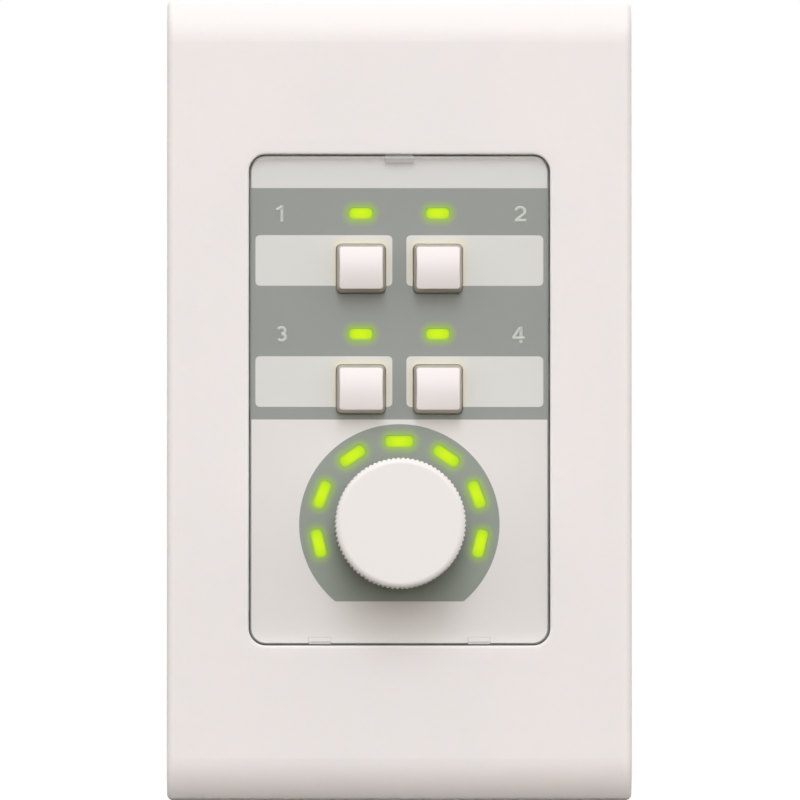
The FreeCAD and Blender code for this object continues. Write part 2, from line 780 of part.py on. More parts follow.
def make_clear_cover():
    """Clear moulded cover: bevelled at its edge, open for the keys and the knob's shaft, and
    hooked over the front panel's edge by one hook at the top and two at the bottom."""
    body = plate("clear_cover", cover_outline, COVER_BACK, COVER_FRONT)
    dressed(body, "Chamfer", "cover_bevel", at_level(COVER_FRONT))
    cut(body, "keys", key_openings, COVER_BACK, COVER_FRONT)
    cut(body, "knob", knob_opening, COVER_BACK, COVER_FRONT)

    def hook(name, x, side, proud, width):
        outer = f"({COVER_HEIGHT} / 2 + {proud})"
        inner = f"({COVER_HEIGHT} / 2 - hook_thickness)"
        catch = f"({PANEL_BACK} - hook_gap)"
        sketch = new_sketch(body, name, "YZ_Plane", x)
        outline(sketch, "hook", [
            (f"cover_bevel - {COVER_FRONT}", side + outer),
            (f"cover_bevel - {COVER_FRONT}", side + inner),
            (f"0 - {catch}", side + inner),
            (f"0 - {catch}", f"{side}({inner} - hook_bite)"),
            (f"hook_tip / 2 - {catch}", f"{side}({inner} - hook_bite)"),
            (f"hook_tip * 2 - {catch}", side + inner),
            (f"hook_tip * 2 - {catch}", side + outer),
        ])
        across(body, sketch, "Pad", width)

    hook("top_hook", "0", "", "pry_proud", "pry_width")
    hook("left_hook", "0 - hook_offset", "0 - ", "0", "hook_width")
    hook("right_hook", "hook_offset", "0 - ", "0", "hook_width")
    return body


def hook_notches(sketch):
    """Notches that clear the cover's hooks, open to the edge."""
    for name, side, width, x in (
        ("top", "", "pry_width", "0"),
        ("left", "0 - ", "hook_width", "(0 - hook_offset)"),
        ("right", "0 - ", "hook_width", "hook_offset"),
    ):
        depth = "(hook_thickness + 2 * hook_gap)"
        rectangle(
            sketch, name, f"({width} + 2 * hook_gap)", depth, x,
            f"({side}({COVER_HEIGHT} / 2 + hook_gap - {depth} / 2))",
        )


def make_label_sheet():
    """Printed sheet behind the clear cover, with a window for each lamp."""
    body = plate(
        "label_sheet", lambda s: cover_outline(s, inset="sheet_margin"), PANEL_FRONT, SHEET_FRONT,
    )
    cut(body, "keys", key_openings, PANEL_FRONT, SHEET_FRONT)
    cut(body, "knob", knob_opening, PANEL_FRONT, SHEET_FRONT)
    cut(body, "hooks", hook_notches, PANEL_FRONT, SHEET_FRONT)
    lamp_windows(body, PANEL_FRONT, SHEET_FRONT)
    return body


def lamp_windows(body, low, high):
    """Windows for the four key lamps and for the level lamps round the knob."""
    key_window = cut(body, "key_lamp", lambda s: rectangle(
        s, "lamp", "key_lamp_width", "key_lamp_height",
        "(0 - key_pitch / 2)", "(key_row_lower + key_lamp_rise)", "lamp_corner",
    ), low, high)
    at_keys(body, [key_window])
    level_window = cut(body, "level_lamp", lambda s: rectangle(
        s, "lamp", "level_lamp_length", "level_lamp_height", "0", "level_lamp_radius", "lamp_corner",
    ), low, high, z="knob_height", turn=LEVEL_START)
    ring_of(body, [level_window], "level_lamp_count", "level_lamp_sweep")


def make_front_panel():
    """Inner moulded panel: carries the cover, the sheet, the keys, the light guides and the
    encoder, and holds the front board on four posts."""
    body = plate("front_panel", cover_outline, PANEL_BACK, PANEL_FRONT)

    def skirt(s):
        cover_outline(s, "outside", "skirt_inset")
        rectangle(
            s, "inside", f"({COVER_WIDTH} - 2 * (skirt_inset + skirt_wall))",
            f"({COVER_HEIGHT} - 2 * (skirt_inset + skirt_wall))",
        )

    add(body, "skirt", skirt, "yoke_thickness", PANEL_BACK)
    guide_radius = "(level_lamp_radius + level_guide_width / 2 + baffle_gap)"

    def baffle(s):
        circle(s, "inside", guide_radius)
        circle(s, "outside", f"{guide_radius} + baffle_wall")

    add(body, "baffle", baffle, "baffle_level", PANEL_BACK, z="knob_height")
    at_posts(body, [add(body, "post", lambda s: post_circle(s, "boss_radius"), BOARD_FRONT, PANEL_BACK)])
    at_case_screws(body, [add(
        body, "boss", lambda s: case_circle(s, "screw_boss_radius"), "yoke_thickness", PANEL_BACK,
    )])
    at_posts(body, [cut(
        body, "post_bore", lambda s: post_circle(s, "post_screw_radius + screw_gap"),
        BOARD_FRONT, f"({BOARD_FRONT} + post_stud + screw_gap)",
    )])
    at_case_screws(body, [cut(
        body, "boss_bore", lambda s: case_circle(s, "case_screw_radius + screw_gap"),
        "yoke_thickness", f"({PANEL_FRONT} - boss_floor)",
    )])
    cut(body, "keys", key_openings, PANEL_BACK, PANEL_FRONT)
    cut(body, "bushing", lambda s: circle(
        s, "bushing", "bushing_radius + bushing_gap", "0", "knob_height",
    ), PANEL_BACK, PANEL_FRONT)
    cut(body, "hooks", hook_notches, PANEL_BACK, PANEL_FRONT)
    lamp_windows(body, PANEL_BACK, PANEL_FRONT)
    return body


def make_key_cap(number, x, z):
    """Square key cap: a hollow tapered block with a crowned face, a lip that keeps it behind
    the panel and a stem that stands on the switch's plunger."""
    lip = "(key_size + 2 * key_lip)"
    body = plate(
        f"key_cap_{number}", lambda s: rectangle(s, "lip", lip, lip, corner="key_corner"),
        LIP_BACK, LIP_FRONT, x, z,
    )
    add(body, "block", lambda s: rectangle(
        s, "block", "key_size", "key_size", corner="key_corner",
    ), LIP_FRONT, COVER_FRONT)
    foot = new_sketch(body, "foot", level=COVER_FRONT)
    rectangle(foot, "foot", "key_size", "key_size", corner="key_corner")
    face = new_sketch(body, "face", level=KEY_FRONT)
    rectangle(face, "face", "key_face_width", "key_face_height", corner="key_face_corner")
    taper = body.newObject("PartDesign::AdditiveLoft", f"{body.Name}_taper")
    taper.Profile = foot
    taper.Sections = [face]
    body.Tip = taper
    crown = new_sketch(body, "crown", "YZ_Plane")
    outline(crown, "crown", [
        (f"key_crown - {KEY_FRONT}", "0 - key_size / 2", f"-{CROWN_RADIUS}"),
        (f"key_crown - {KEY_FRONT}", "key_size / 2"),
        (f"0 - {KEY_FRONT} - key_crown", "key_size / 2"),
        (f"0 - {KEY_FRONT} - key_crown", "0 - key_size / 2"),
    ])
    across(body, crown, "Pocket", "key_size")
    edge = num(f"key_crown - {KEY_FRONT}")
    dressed(body, "Fillet", "key_face_round", lambda e: e.BoundBox.YMax < edge)
    cavity = f"({KEY_FRONT} - key_face_thickness)"
    cut(body, "cavity", lambda s: rectangle(
        s, "cavity", "key_size - 2 * key_wall", "key_size - 2 * key_wall",
    ), LIP_BACK, cavity)
    add(body, "stem", lambda s: circle(s, "stem", "key_stem_radius"), PLUNGER_TOP, cavity)
    return body


def make_key_light_guide(name, row):
    """Clear bar behind the panel that leads the light of two lamps to their windows."""
    body = plate(name, lambda s: rectangle(
        s, "bar", "(key_pitch + key_lamp_width + 2 * guide_bar_overhang)", "guide_bar_height",
    ), GUIDE_BACK, PANEL_BACK, z=f"{row} + key_lamp_rise")
    tip = add(body, "tip", lambda s: lamp_tip(
        s, "key_lamp_width", "key_lamp_height", "(0 - key_pitch / 2)", "0",
    ), PANEL_BACK, f"({COVER_BACK} - lamp_gap)")
    grid_of(body, [tip], "key_pitch")
    foot = add(body, "foot", lambda s: rectangle(
        s, "foot", "led_length", "led_width", "(0 - key_pitch / 2)", "0",
    ), f"({LED_TOP} + guide_led_gap)", GUIDE_BACK)
    grid_of(body, [foot], "key_pitch")
    return body


def lamp_tip(sketch, length, height, x, z):
    """The end of a light guide, smaller than its window by the lamp gap."""
    rectangle(sketch, "tip", f"({length} - 2 * lamp_gap)", f"({height} - 2 * lamp_gap)", x, z,
              "(lamp_corner - lamp_gap)")


def make_level_light_guide():
    """Clear C-shaped bar round the encoder with a prong for each level lamp."""
    body = new_body("level_light_guide", z="knob_height")

    def ring(s):
        circle(s, "inside", "level_lamp_radius - level_guide_width / 2")
        circle(s, "outside", "level_lamp_radius + level_guide_width / 2")

    add(body, "bar", ring, GUIDE_BACK, PANEL_BACK)
    reach, turn = "(2 * level_lamp_radius)", "(level_lamp_sweep / 2 + level_guide_tail)"
    side, height = f"{reach} * sin({turn})", f"{reach} * cos({turn})"
    cut(body, "gap", lambda s: outline(s, "gap", [
        ("0", "0"),
        (f"0 - {side}", height),
        (f"0 - {side}", f"0 - {reach}"),
        (side, f"0 - {reach}"),
        (side, height),
    ]), GUIDE_BACK, PANEL_BACK)
    tip = add(body, "tip", lambda s: lamp_tip(
        s, "level_lamp_length", "level_lamp_height", "0", "level_lamp_radius",
    ), PANEL_BACK, f"({COVER_BACK} - lamp_gap)", turn=LEVEL_START)
    ring_of(body, [tip], "level_lamp_count", "level_lamp_sweep")
    foot = add(body, "foot", lambda s: rectangle(
        s, "foot", "led_length", "led_width", "0", "level_lamp_radius",
    ), f"({LED_TOP} + guide_led_gap)", GUIDE_BACK, turn=LEVEL_START)
    ring_of(body, [foot], "level_lamp_count", "level_lamp_sweep")
    return body


def make_key_leds():
    body = new_body("key_leds")
    led = add(body, "led", lambda s: rectangle(
        s, "led", "led_length", "led_width", "(0 - key_pitch / 2)", "(key_row_lower + key_lamp_rise)",
    ), BOARD_FRONT, LED_TOP)
    at_keys(body, [led])
    return body


def make_level_leds():
    body = new_body("level_leds", z="knob_height")
    led = add(body, "led", lambda s: rectangle(
        s, "led", "led_length", "led_width", "0", "level_lamp_radius",
    ), BOARD_FRONT, LED_TOP, turn=LEVEL_START)
    ring_of(body, [led], "level_lamp_count", "level_lamp_sweep")
    return body


def make_knob():
    """Fluted knob: a turned shell with a flat face, V flutes round its rim, and a ribbed hub
    whose bore has a flat that leaves room for the spring clip."""
    body = new_body("knob", z="knob_height")
    section = new_sketch(body, "section", "XY_Plane")
    inside, rim = f"({KNOB_FRONT} - knob_face)", "(knob_radius - knob_wall)"
    hub_back = f"({BUSHING_FRONT} + knob_gap)"
    bore = "(shaft_radius + clip_gap)"
    outline(section, "wall", [
        ("0", f"0 - {KNOB_FRONT}"),
        ("knob_radius - knob_bevel", f"0 - {KNOB_FRONT}", "knob_bevel"),
        ("knob_radius", f"knob_bevel - {KNOB_FRONT}"),
        ("knob_radius", f"0 - {KNOB_BACK}"),
        (rim, f"0 - {KNOB_BACK}"),
        (rim, f"0 - {inside}"),
        ("knob_hub_radius", f"0 - {inside}"),
        ("knob_hub_radius", f"0 - {hub_back}"),
        (bore, f"0 - {hub_back}"),
        (bore, f"0 - {inside}"),
        ("0", f"0 - {inside}"),
    ])
    turned(body, section)
    half = "(pi * knob_radius / flute_count * flute_share)"
    flute = cut(body, "flute", lambda s: outline(s, "flute", [
        ("0", "knob_radius - flute_depth"),
        (f"2 * {half}", "knob_radius + flute_depth"),
        (f"0 - 2 * {half}", "knob_radius + flute_depth"),
    ]), KNOB_BACK, KNOB_FRONT)
    ring_of(body, [flute], "flute_count")
    rib = add(body, "rib", lambda s: rectangle(
        s, "rib", f"({rim} - {bore} - knob_rib)", "knob_rib", f"(({rim} + {bore} + knob_rib) / 2)", "0",
    ), hub_back, inside)
    ring_of(body, [rib], "knob_rib_count")
    flat = "(shaft_flat + clip_thickness + 2 * clip_gap)"
    add(body, "flat", lambda s: outline(s, "flat", [
        (f"0 - {bore}", flat),
        (bore, flat),
        (f"{bore} / 2", f"({bore} + knob_hub_radius) / 2"),
        (f"0 - {bore} / 2", f"({bore} + knob_hub_radius) / 2"),
    ]), f"({SHAFT_FRONT} - shaft_flat_length)", inside)
    return body


def make_knob_clip():
    """Spring steel leaf between the shaft's flat and the hub's flat."""
    low = f"({SHAFT_FRONT} - shaft_flat_length + clip_gap)"
    return plate("knob_clip", lambda s: rectangle(
        s, "leaf", "clip_width", "clip_thickness", "0", "(shaft_flat + clip_gap + clip_thickness / 2)",
    ), low, f"({low} + clip_length)", z="knob_height")


def make_encoder_bushing():
    """Die-cast plate with the threaded neck that passes the panel."""
    body = plate("encoder_bushing", lambda s: rectangle(
        s, "plate", "encoder_width", "encoder_width",
    ), FRAME_FRONT, PANEL_BACK, z="knob_height")
    add(body, "neck", lambda s: circle(s, "neck", "bushing_radius"), PANEL_BACK, BUSHING_FRONT)
    cut(body, "bore", lambda s: circle(s, "bore", "shaft_radius + shaft_gap"), FRAME_FRONT, BUSHING_FRONT)
    return body


def make_encoder_frame():
    """Steel strap under the bushing plate, bent down both sides with a lug into the board."""
    body = plate("encoder_frame", lambda s: rectangle(
        s, "strap", "(encoder_width + 2 * encoder_frame)", "encoder_frame_height",
    ), FRAME_BACK, FRAME_FRONT, z="knob_height")
    cut(body, "bore", lambda s: circle(s, "bore", "shaft_radius + rotor_gap"), FRAME_BACK, FRAME_FRONT)
    leg = add(body, "leg", lambda s: frame_leg(s, "encoder_frame_height", "0"), BOARD_FRONT, FRAME_BACK)
    lug = add(
        body, "lug", lambda s: frame_leg(s, "encoder_pin * 2", "0"),
        f"({BOARD_BACK} - pin_end)", BOARD_FRONT,
    )
    grid_of(body, [leg, lug], "(encoder_width + encoder_frame)")
    return body


def frame_leg(sketch, height, gap):
    """The left leg of the encoder's frame, made larger all round by gap."""
    rectangle(sketch, "leg", f"(encoder_frame + 2 * {gap})", f"({height} + 2 * {gap})",
              "(0 - (encoder_width + encoder_frame) / 2)", "0")


def make_encoder_body():
    """Moulded body: a cup for the rotor under the frame."""
    body = plate("encoder_body", lambda s: rectangle(
        s, "block", "encoder_width", "encoder_length",
    ), BOARD_FRONT, FRAME_BACK, z="knob_height")
    cut(body, "cup", lambda s: circle(
        s, "cup", "rotor_radius + rotor_gap",
    ), f"({BOARD_FRONT} + encoder_floor)", FRAME_BACK)
    return body


def make_encoder_shaft():
    """Turned shaft with its rotor disc and the flat for the knob."""
    body = new_body("encoder_shaft", z="knob_height")
    section = new_sketch(body, "section", "XY_Plane")
    outline(section, "half", [
        ("0", f"0 - {SHAFT_FRONT}"),
        ("shaft_radius - shaft_chamfer", f"0 - {SHAFT_FRONT}"),
        ("shaft_radius", f"shaft_chamfer - {SHAFT_FRONT}"),
        ("shaft_radius", f"0 - ({ROTOR_BACK} + rotor_thickness)"),
        ("rotor_radius", f"0 - ({ROTOR_BACK} + rotor_thickness)"),
        ("rotor_radius", f"0 - {ROTOR_BACK}"),
        ("0", f"0 - {ROTOR_BACK}"),
    ])
    turned(body, section)
    cut(body, "flat", lambda s: rectangle(
        s, "flat", "2 * shaft_radius", "shaft_radius", "0", "(shaft_flat + shaft_radius / 2)",
    ), f"({SHAFT_FRONT} - shaft_flat_length)", SHAFT_FRONT)
    return body


def encoder_pin_spots():
    """Three pins below the encoder and two above it."""
    row = "((encoder_length + encoder_pin_thickness) / 2)"
    low = [(name, x, f"(0 - {row})") for name, x in
           (("a", "(0 - encoder_pin_pitch)"), ("b", "0"), ("c", "encoder_pin_pitch"))]
    return low + [("d", "(0 - encoder_pin_pitch)", row), ("e", "encoder_pin_pitch", row)]


def encoder_pin_outlines(sketch, gap):
    for name, x, z in encoder_pin_spots():
        rectangle(sketch, name, f"(encoder_pin + 2 * {gap})", f"(encoder_pin_thickness + 2 * {gap})", x, z)


def make_encoder_pins():
    return plate("encoder_pins", lambda s: encoder_pin_outlines(s, "0"),
                 f"({BOARD_BACK} - pin_end)", f"({BOARD_FRONT} + encoder_floor)", z="knob_height")


def make_encoder_washer():
    def ring(s):
        circle(s, "inside", "bushing_radius + bushing_gap")
        circle(s, "outside", "washer_radius")

    high = f"({PANEL_FRONT} + washer_thickness)"
    return plate("encoder_washer", ring, PANEL_FRONT, high, z="knob_height")


def make_encoder_nut():
    low = f"({PANEL_FRONT} + washer_thickness)"

    def ring(s):
        hexagon(s, "outside", "nut_width")
        circle(s, "inside", "bushing_radius + bushing_gap")

    return plate("encoder_nut", ring, low, f"({low} + nut_thickness)", z="knob_height")


def board(label, low, high):
    """A circuit board notched for the case's columns, with its four post holes."""
    body = plate(label, lambda s: rectangle(
        s, "edge", BOARD_WIDTH, BOARD_HEIGHT, corner="board_corner",
    ), low, high)
    at_case_screws(body, [cut(body, "notch", lambda s: case_circle(s, COLUMN_NOTCH), low, high)])
    at_posts(body, [cut(
        body, "post", lambda s: post_circle(s, "post_screw_radius + screw_gap"), low, high,
    )])
    return body


def make_front_board():
    body = board("front_board", BOARD_BACK, BOARD_FRONT)
    cut(
        body, "encoder_pins", lambda s: encoder_pin_outlines(s, "pin_gap"),
        BOARD_BACK, BOARD_FRONT, z="knob_height",
    )
    lug = cut(
        body, "lugs", lambda s: frame_leg(s, "encoder_pin * 2", "pin_gap"),
        BOARD_BACK, BOARD_FRONT, z="knob_height",
    )
    grid_of(body, [lug], "(encoder_width + encoder_frame)")
    leads = cut(
        body, "leads", lambda s: switch_leads(s, "pin_gap"),
        BOARD_BACK, BOARD_FRONT, x="0 - key_pitch / 2", z="key_row_lower",
    )
    at_keys(body, [leads])
    return body


def switch_leads(sketch, gap):
    """Outlines of a tact switch's four leads, made larger all round by gap."""
    side, rise = "((switch_size + lead_thickness) / 2)", "(lead_pitch / 2)"
    for name, x, z in (
        ("a", f"(0 - {side})", f"(0 - {rise})"), ("b", side, f"(0 - {rise})"),
        ("c", f"(0 - {side})", rise), ("d", side, rise),
    ):
        rectangle(sketch, name, f"(lead_thickness + 2 * {gap})", f"(lead_width + 2 * {gap})", x, z)


def make_switch_base(number, x, z):
    """Moulded base of a tact switch with its four leads moulded in."""
    top = f"({SWITCH_TOP} - switch_cover)"
    body = plate(
        f"switch_base_{number}", lambda s: rectangle(s, "block", "switch_size", "switch_size"),
        BOARD_FRONT, top, x, z,
    )
    add(
        body, "leads", lambda s: switch_leads(s, "0"),
        f"({BOARD_BACK} - pin_end)", f"({BOARD_FRONT} + lead_rise)",
    )
    cut(body, "cup", lambda s: circle(
        s, "cup", "plunger_radius + plunger_lip + 2 * plunger_gap",
    ), f"({LIP_SEAT} - plunger_lip_thickness - switch_travel_room)", top)
    return body


def make_switch_cover(number, x, z):
    """Steel cover of a tact switch, open for the plunger."""
    low = f"({SWITCH_TOP} - switch_cover)"
    body = plate(
        f"switch_cover_{number}", lambda s: rectangle(s, "plate", "switch_size", "switch_size"),
        low, SWITCH_TOP, x, z,
    )
    cut(body, "bore", lambda s: circle(s, "bore", "plunger_radius + plunger_gap"), low, SWITCH_TOP)
    return body


def make_switch_plunger(number, x, z):
    """Plunger of a tact switch, kept under the cover by its lip."""
    low = f"({LIP_SEAT} - plunger_lip_thickness)"
    body = plate(
        f"switch_plunger_{number}", lambda s: circle(s, "lip", "plunger_radius + plunger_lip"),
        low, LIP_SEAT, x, z,
    )
    add(body, "post", lambda s: circle(s, "post", "plunger_radius"), LIP_SEAT, PLUNGER_TOP)
    return body


def pin_square(sketch, gap):
    """The header's lowest left pin, made larger all round by gap."""
    rectangle(
        sketch, "pin", f"(header_pin + 2 * {gap})", f"(header_pin + 2 * {gap})",
        "(0 - header_pitch * (header_columns - 1) / 2)", "(header_height - header_pitch / 2)",
    )


def at_pins(body, features):
    return grid_of(body, features, "header_pitch", "header_pitch", count_x="header_columns")


def connector_block(label, low, high):
    body = plate(label, lambda s: rectangle(
        s, "block", "header_length", "header_width", "0", "header_height",
    ), low, high)
    at_pins(body, [cut(body, "pins", lambda s: pin_square(s, "pin_gap"), low, high)])
    return body


def make_board_socket():
    base = f"({REAR_BOARD_FRONT} + header_base)"
    return connector_block("board_socket", f"({base} + socket_gap)", BOARD_BACK)


def make_board_header():
    return connector_block("board_header", REAR_BOARD_FRONT, f"({REAR_BOARD_FRONT} + header_base)")


def make_header_pins():
    body = new_body("header_pins")
    at_pins(body, [add(
        body, "pin", lambda s: pin_square(s, "0"),
        f"({REAR_BOARD_BACK} - pin_end)", f"({BOARD_BACK} - header_pin_room)",
    )])
    return body


def make_rear_board():
    body = board("rear_board", REAR_BOARD_BACK, REAR_BOARD_FRONT)
    at_pins(body, [cut(
        body, "pins", lambda s: pin_square(s, "pin_gap"), REAR_BOARD_BACK, REAR_BOARD_FRONT,
    )])
    return body


def make_board_spacers():
    """Hexagonal spacers: a stud through the front board into the panel's post, and a tapped
    end for the screw through the rear board."""
    body = new_body("board_spacers")
    bar = add(
        body, "bar", lambda s: hexagon(s, "bar", "spacer_width"),
        REAR_BOARD_FRONT, BOARD_BACK, x="0 - post_x", z="post_low",
    )
    stud = add(
        body, "stud", lambda s: post_circle(s, "post_screw_radius"),
        BOARD_BACK, f"({BOARD_FRONT} + post_stud)",
    )
    tap = cut(
        body, "tap", lambda s: post_circle(s, "post_screw_radius + screw_gap"),
        REAR_BOARD_FRONT, f"({REAR_BOARD_FRONT} + board_screw_bite + screw_gap)",
    )
    at_posts(body, [bar, stud, tap])
    return body


def make_board_screws():
    body = new_body("board_screws")
    head = add(body, "head", lambda s: post_circle(s, "board_screw_head"),
               f"({REAR_BOARD_BACK} - board_screw_head_height)", REAR_BOARD_BACK)
    shank = add(body, "shank", lambda s: post_circle(s, "post_screw_radius"), REAR_BOARD_BACK,
                f"({REAR_BOARD_FRONT} + board_screw_bite)")
    at_posts(body, [head, shank])
    return body


def make_controller_chip():
    return plate("controller_chip", lambda s: rectangle(
        s, "package", "chip_size", "chip_size", "0", CHIP_ROW,
    ), f"({REAR_BOARD_BACK} - chip_height)", REAR_BOARD_BACK)


def make_line_drivers():
    body = new_body("line_drivers")
    chip = add(body, "chip", lambda s: rectangle(
        s, "package", "driver_width", "driver_height", "(0 - driver_pitch / 2)", "driver_row",
    ), f"({REAR_BOARD_BACK} - driver_thickness)", REAR_BOARD_BACK)
    grid_of(body, [chip], "driver_pitch")
    return body


def make_capacitors():
    body = new_body("capacitors")
    can = add(body, "can", lambda s: circle(
        s, "can", "capacitor_radius", "capacitor_first", "capacitor_row",
    ), f"({REAR_BOARD_BACK} - capacitor_length)", REAR_BOARD_BACK)
    grid_of(body, [can], "capacitor_pitch")
    return body


def make_jack_housing(name, x):
    """Housing of an 8-way modular jack: the plug's cavity, the latch channel below it and the
    narrower key slot below that."""
    body = plate(
        name, lambda s: rectangle(s, "block", "jack_width", "jack_tall"),
        JACK_FACE, REAR_BOARD_BACK, x, "jack_height",
    )
    floor = f"({JACK_FACE} + jack_plug_depth)"
    cut(body, "plug", lambda s: rectangle(
        s, "plug", "jack_plug_width", "(jack_plug_high - jack_plug_low)", "0",
        "((jack_plug_high + jack_plug_low) / 2)",
    ), JACK_FACE, floor)
    cut(body, "latch", lambda s: rectangle(
        s, "latch", "jack_latch_width", "jack_latch_height", "0", "(jack_plug_low - jack_latch_height / 2)",
    ), JACK_FACE, floor)
    cut(body, "key", lambda s: rectangle(
        s, "key", "jack_key_width", "jack_key_height", "0",
        "(jack_plug_low - jack_latch_height - jack_key_height / 2)",
    ), JACK_FACE, floor)
    return body


def make_jack_contacts(name, x):
    """Eight spring wires along the cavity's roof, folded back from the mouth."""
    body = new_body(name, x, "jack_height")
    floor, bend = f"({JACK_FACE} + jack_plug_depth)", f"({JACK_FACE} + contact_setback)"
    roof = "jack_plug_high"
    wire = new_sketch(body, "wire", "YZ_Plane", "(0 - contact_pitch * (contact_count - 1) / 2)")
    outline(wire, "wire", [
        (f"0 - {floor}", roof),
        (f"0 - {bend}", roof),
        (f"0 - {bend}", f"{roof} - 2 * contact_thickness"),
        (f"0 - ({floor} - contact_setback)", f"{roof} - contact_rise - contact_thickness"),
        (f"0 - ({floor} - contact_setback)", f"{roof} - contact_rise"),
        (f"0 - ({bend} + 2 * contact_thickness)", f"{roof} - contact_thickness"),
        (f"0 - {floor}", f"{roof} - contact_thickness"),
    ])
    pad = across(body, wire, "Pad", "contact_width")
    row = body.newObject("PartDesign::LinearPattern", f"{body.Name}_row")
    row.Originals = [pad]
    row.Direction = (wire, ["N_Axis"])
    row.setExpression("Length", bound("contact_pitch * (contact_count - 1)"))
    row.setExpression("Occurrences", bound("contact_count"))
    body.Tip = row
    return body


def at_dips(body, features):
    return grid_of(body, features, "dip_pitch", count_x="4")


def dip_rectangle(sketch, width, height, z="0"):
    """A rectangle at the leftmost slider of the address switch."""
    rectangle(sketch, "slider", width, height, "(0 - 3 * dip_pitch / 2)", z)


def make_dip_switch_body():
    """Moulded body of the 4-way address switch: a slot and a wider channel for each slider."""
    body = plate(
        "dip_switch_body", lambda s: rectangle(s, "block", "dip_width", "dip_tall"),
        DIP_FACE, REAR_BOARD_BACK, "dip_x", "dip_height",
    )
    slot = cut(
        body, "slot", lambda s: dip_rectangle(s, "dip_slot_width", "dip_slot_length"),
        DIP_FACE, f"({DIP_FACE} + dip_lid)",
    )
    channel = cut(body, "channel", lambda s: dip_rectangle(
        s, "(dip_slot_width + 2 * dip_foot_lip)", "(dip_slot_length + 2 * dip_foot_lip)",
    ), f"({DIP_FACE} + dip_lid)", f"({REAR_BOARD_BACK} - dip_floor)")
    at_dips(body, [slot, channel])
    return body


def make_dip_slider(number):
    """One slider at the lower end of its slot."""
    x = f"(dip_x + ({number} - 5 / 2) * dip_pitch)"
    low = f"({DIP_FACE} + dip_lid + dip_gap)"
    foot_width = "(dip_slot_width - 2 * dip_gap + 2 * dip_foot_lip)"
    body = plate(f"dip_slider_{number}", lambda s: rectangle(
        s, "foot", foot_width, "(dip_knob_length + 2 * dip_foot_lip)",
    ), low, f"({low} + dip_foot)", x, f"dip_height + {DIP_REST}")
    add(body, "knob", lambda s: rectangle(
        s, "knob", "(dip_slot_width - 2 * dip_gap)", "dip_knob_length",
    ), f"({DIP_FACE} - dip_knob_rise)", low)
    return body


def make_rear_case():
    """Moulded case behind the yoke: four screw columns, openings for the jacks, and a chute
    that leads a tool to the address switch."""
    inside = f"({CASE_BACK} + case_wall)"
    body = plate("rear_case", lambda s: rectangle(
        s, "outside", "case_width", "case_height", corner="case_corner",
    ), CASE_BACK, "0")
    dressed(body, "Fillet", "case_edge_round", at_level(CASE_BACK))
    cut(body, "inside", lambda s: rectangle(
        s, "inside", "(case_width - 2 * case_wall)", "(case_height - 2 * case_wall)",
        corner="(case_corner - case_wall)",
    ), inside, "0")
    at_case_screws(body, [add(body, "column", lambda s: case_circle(s, "column_radius"), inside, "0")])
    bore = cut(body, "bore", lambda s: case_circle(s, "case_screw_radius + screw_gap"), SCREW_SEAT, "0")
    sink = cut(body, "sink", lambda s: case_circle(s, "case_screw_head + screw_gap"), CASE_BACK, SCREW_SEAT)
    at_case_screws(body, [bore])
    at_case_screws(body, [sink])
    jack = cut(body, "jack", lambda s: rectangle(
        s, "jack", "(jack_width + 2 * case_opening_gap)", "(jack_tall + 2 * case_opening_gap)",
        "(0 - jack_pitch / 2)", "jack_height",
    ), CASE_BACK, inside)
    grid_of(body, [jack], "jack_pitch")

    def chute(s):
        dip_window(s, "inside", "dip_window_margin")
        dip_window(s, "outside", "(dip_window_margin + chute_wall)")

    add(body, "chute", chute, inside, f"({inside} + chute_length)")
    cut(body, "dip", lambda s: dip_window(s, "window", "dip_window_margin"), CASE_BACK, inside)
    return body


def dip_window(sketch, name, margin):
    rectangle(
        sketch, name, f"(dip_width + 2 * {margin})", f"(dip_tall + 2 * {margin})",
        "dip_x", "dip_height",
    )


def make_case_screws():
    body = new_body("case_screws")
    head = add(body, "head", lambda s: case_circle(s, "case_screw_head"),
               f"({SCREW_SEAT} - case_screw_head_height)", SCREW_SEAT)
    shank = add(body, "shank", lambda s: case_circle(s, "case_screw_radius"), SCREW_SEAT,
                f"({PANEL_FRONT} - boss_floor - case_screw_tip_gap)")
    at_case_screws(body, [head, shank])
    return body


pieces = [
    make_wall_plate(),
    make_mounting_yoke(),
    make_clear_cover(),
    make_label_sheet(),
    make_front_panel(),
    make_key_light_guide("key_light_guide_upper", "key_row_upper"),
    make_key_light_guide("key_light_guide_lower", "key_row_lower"),
    make_level_light_guide(),
    make_key_leds(),
    make_level_leds(),
    make_knob(),
    make_knob_clip(),
    make_encoder_bushing(),
    make_encoder_frame(),
    make_encoder_body(),
    make_encoder_shaft(),
    make_encoder_pins(),
    make_encoder_washer(),
    make_encoder_nut(),
    make_front_board(),
    make_board_socket(),
    make_board_header(),
    make_header_pins(),
    make_rear_board(),
    make_board_spacers(),
    make_board_screws(),
    make_controller_chip(),
    make_line_drivers(),
    make_capacitors(),
    make_jack_housing("jack_in_housing", "0 - jack_pitch / 2"),
    make_jack_contacts("jack_in_contacts", "0 - jack_pitch / 2"),
    make_jack_housing("jack_out_housing", "jack_pitch / 2"),
    make_jack_contacts("jack_out_contacts", "jack_pitch / 2"),
    make_dip_switch_body(),
    make_rear_case(),
    make_case_screws(),
]
for number, (x, z) in KEY_PLACES.items():
    for make in (make_key_cap, make_switch_base, make_switch_cover, make_switch_plunger):
        pieces.append(make(number, x, z))
pieces += [make_dip_slider(number) for number in range(1, 5)]

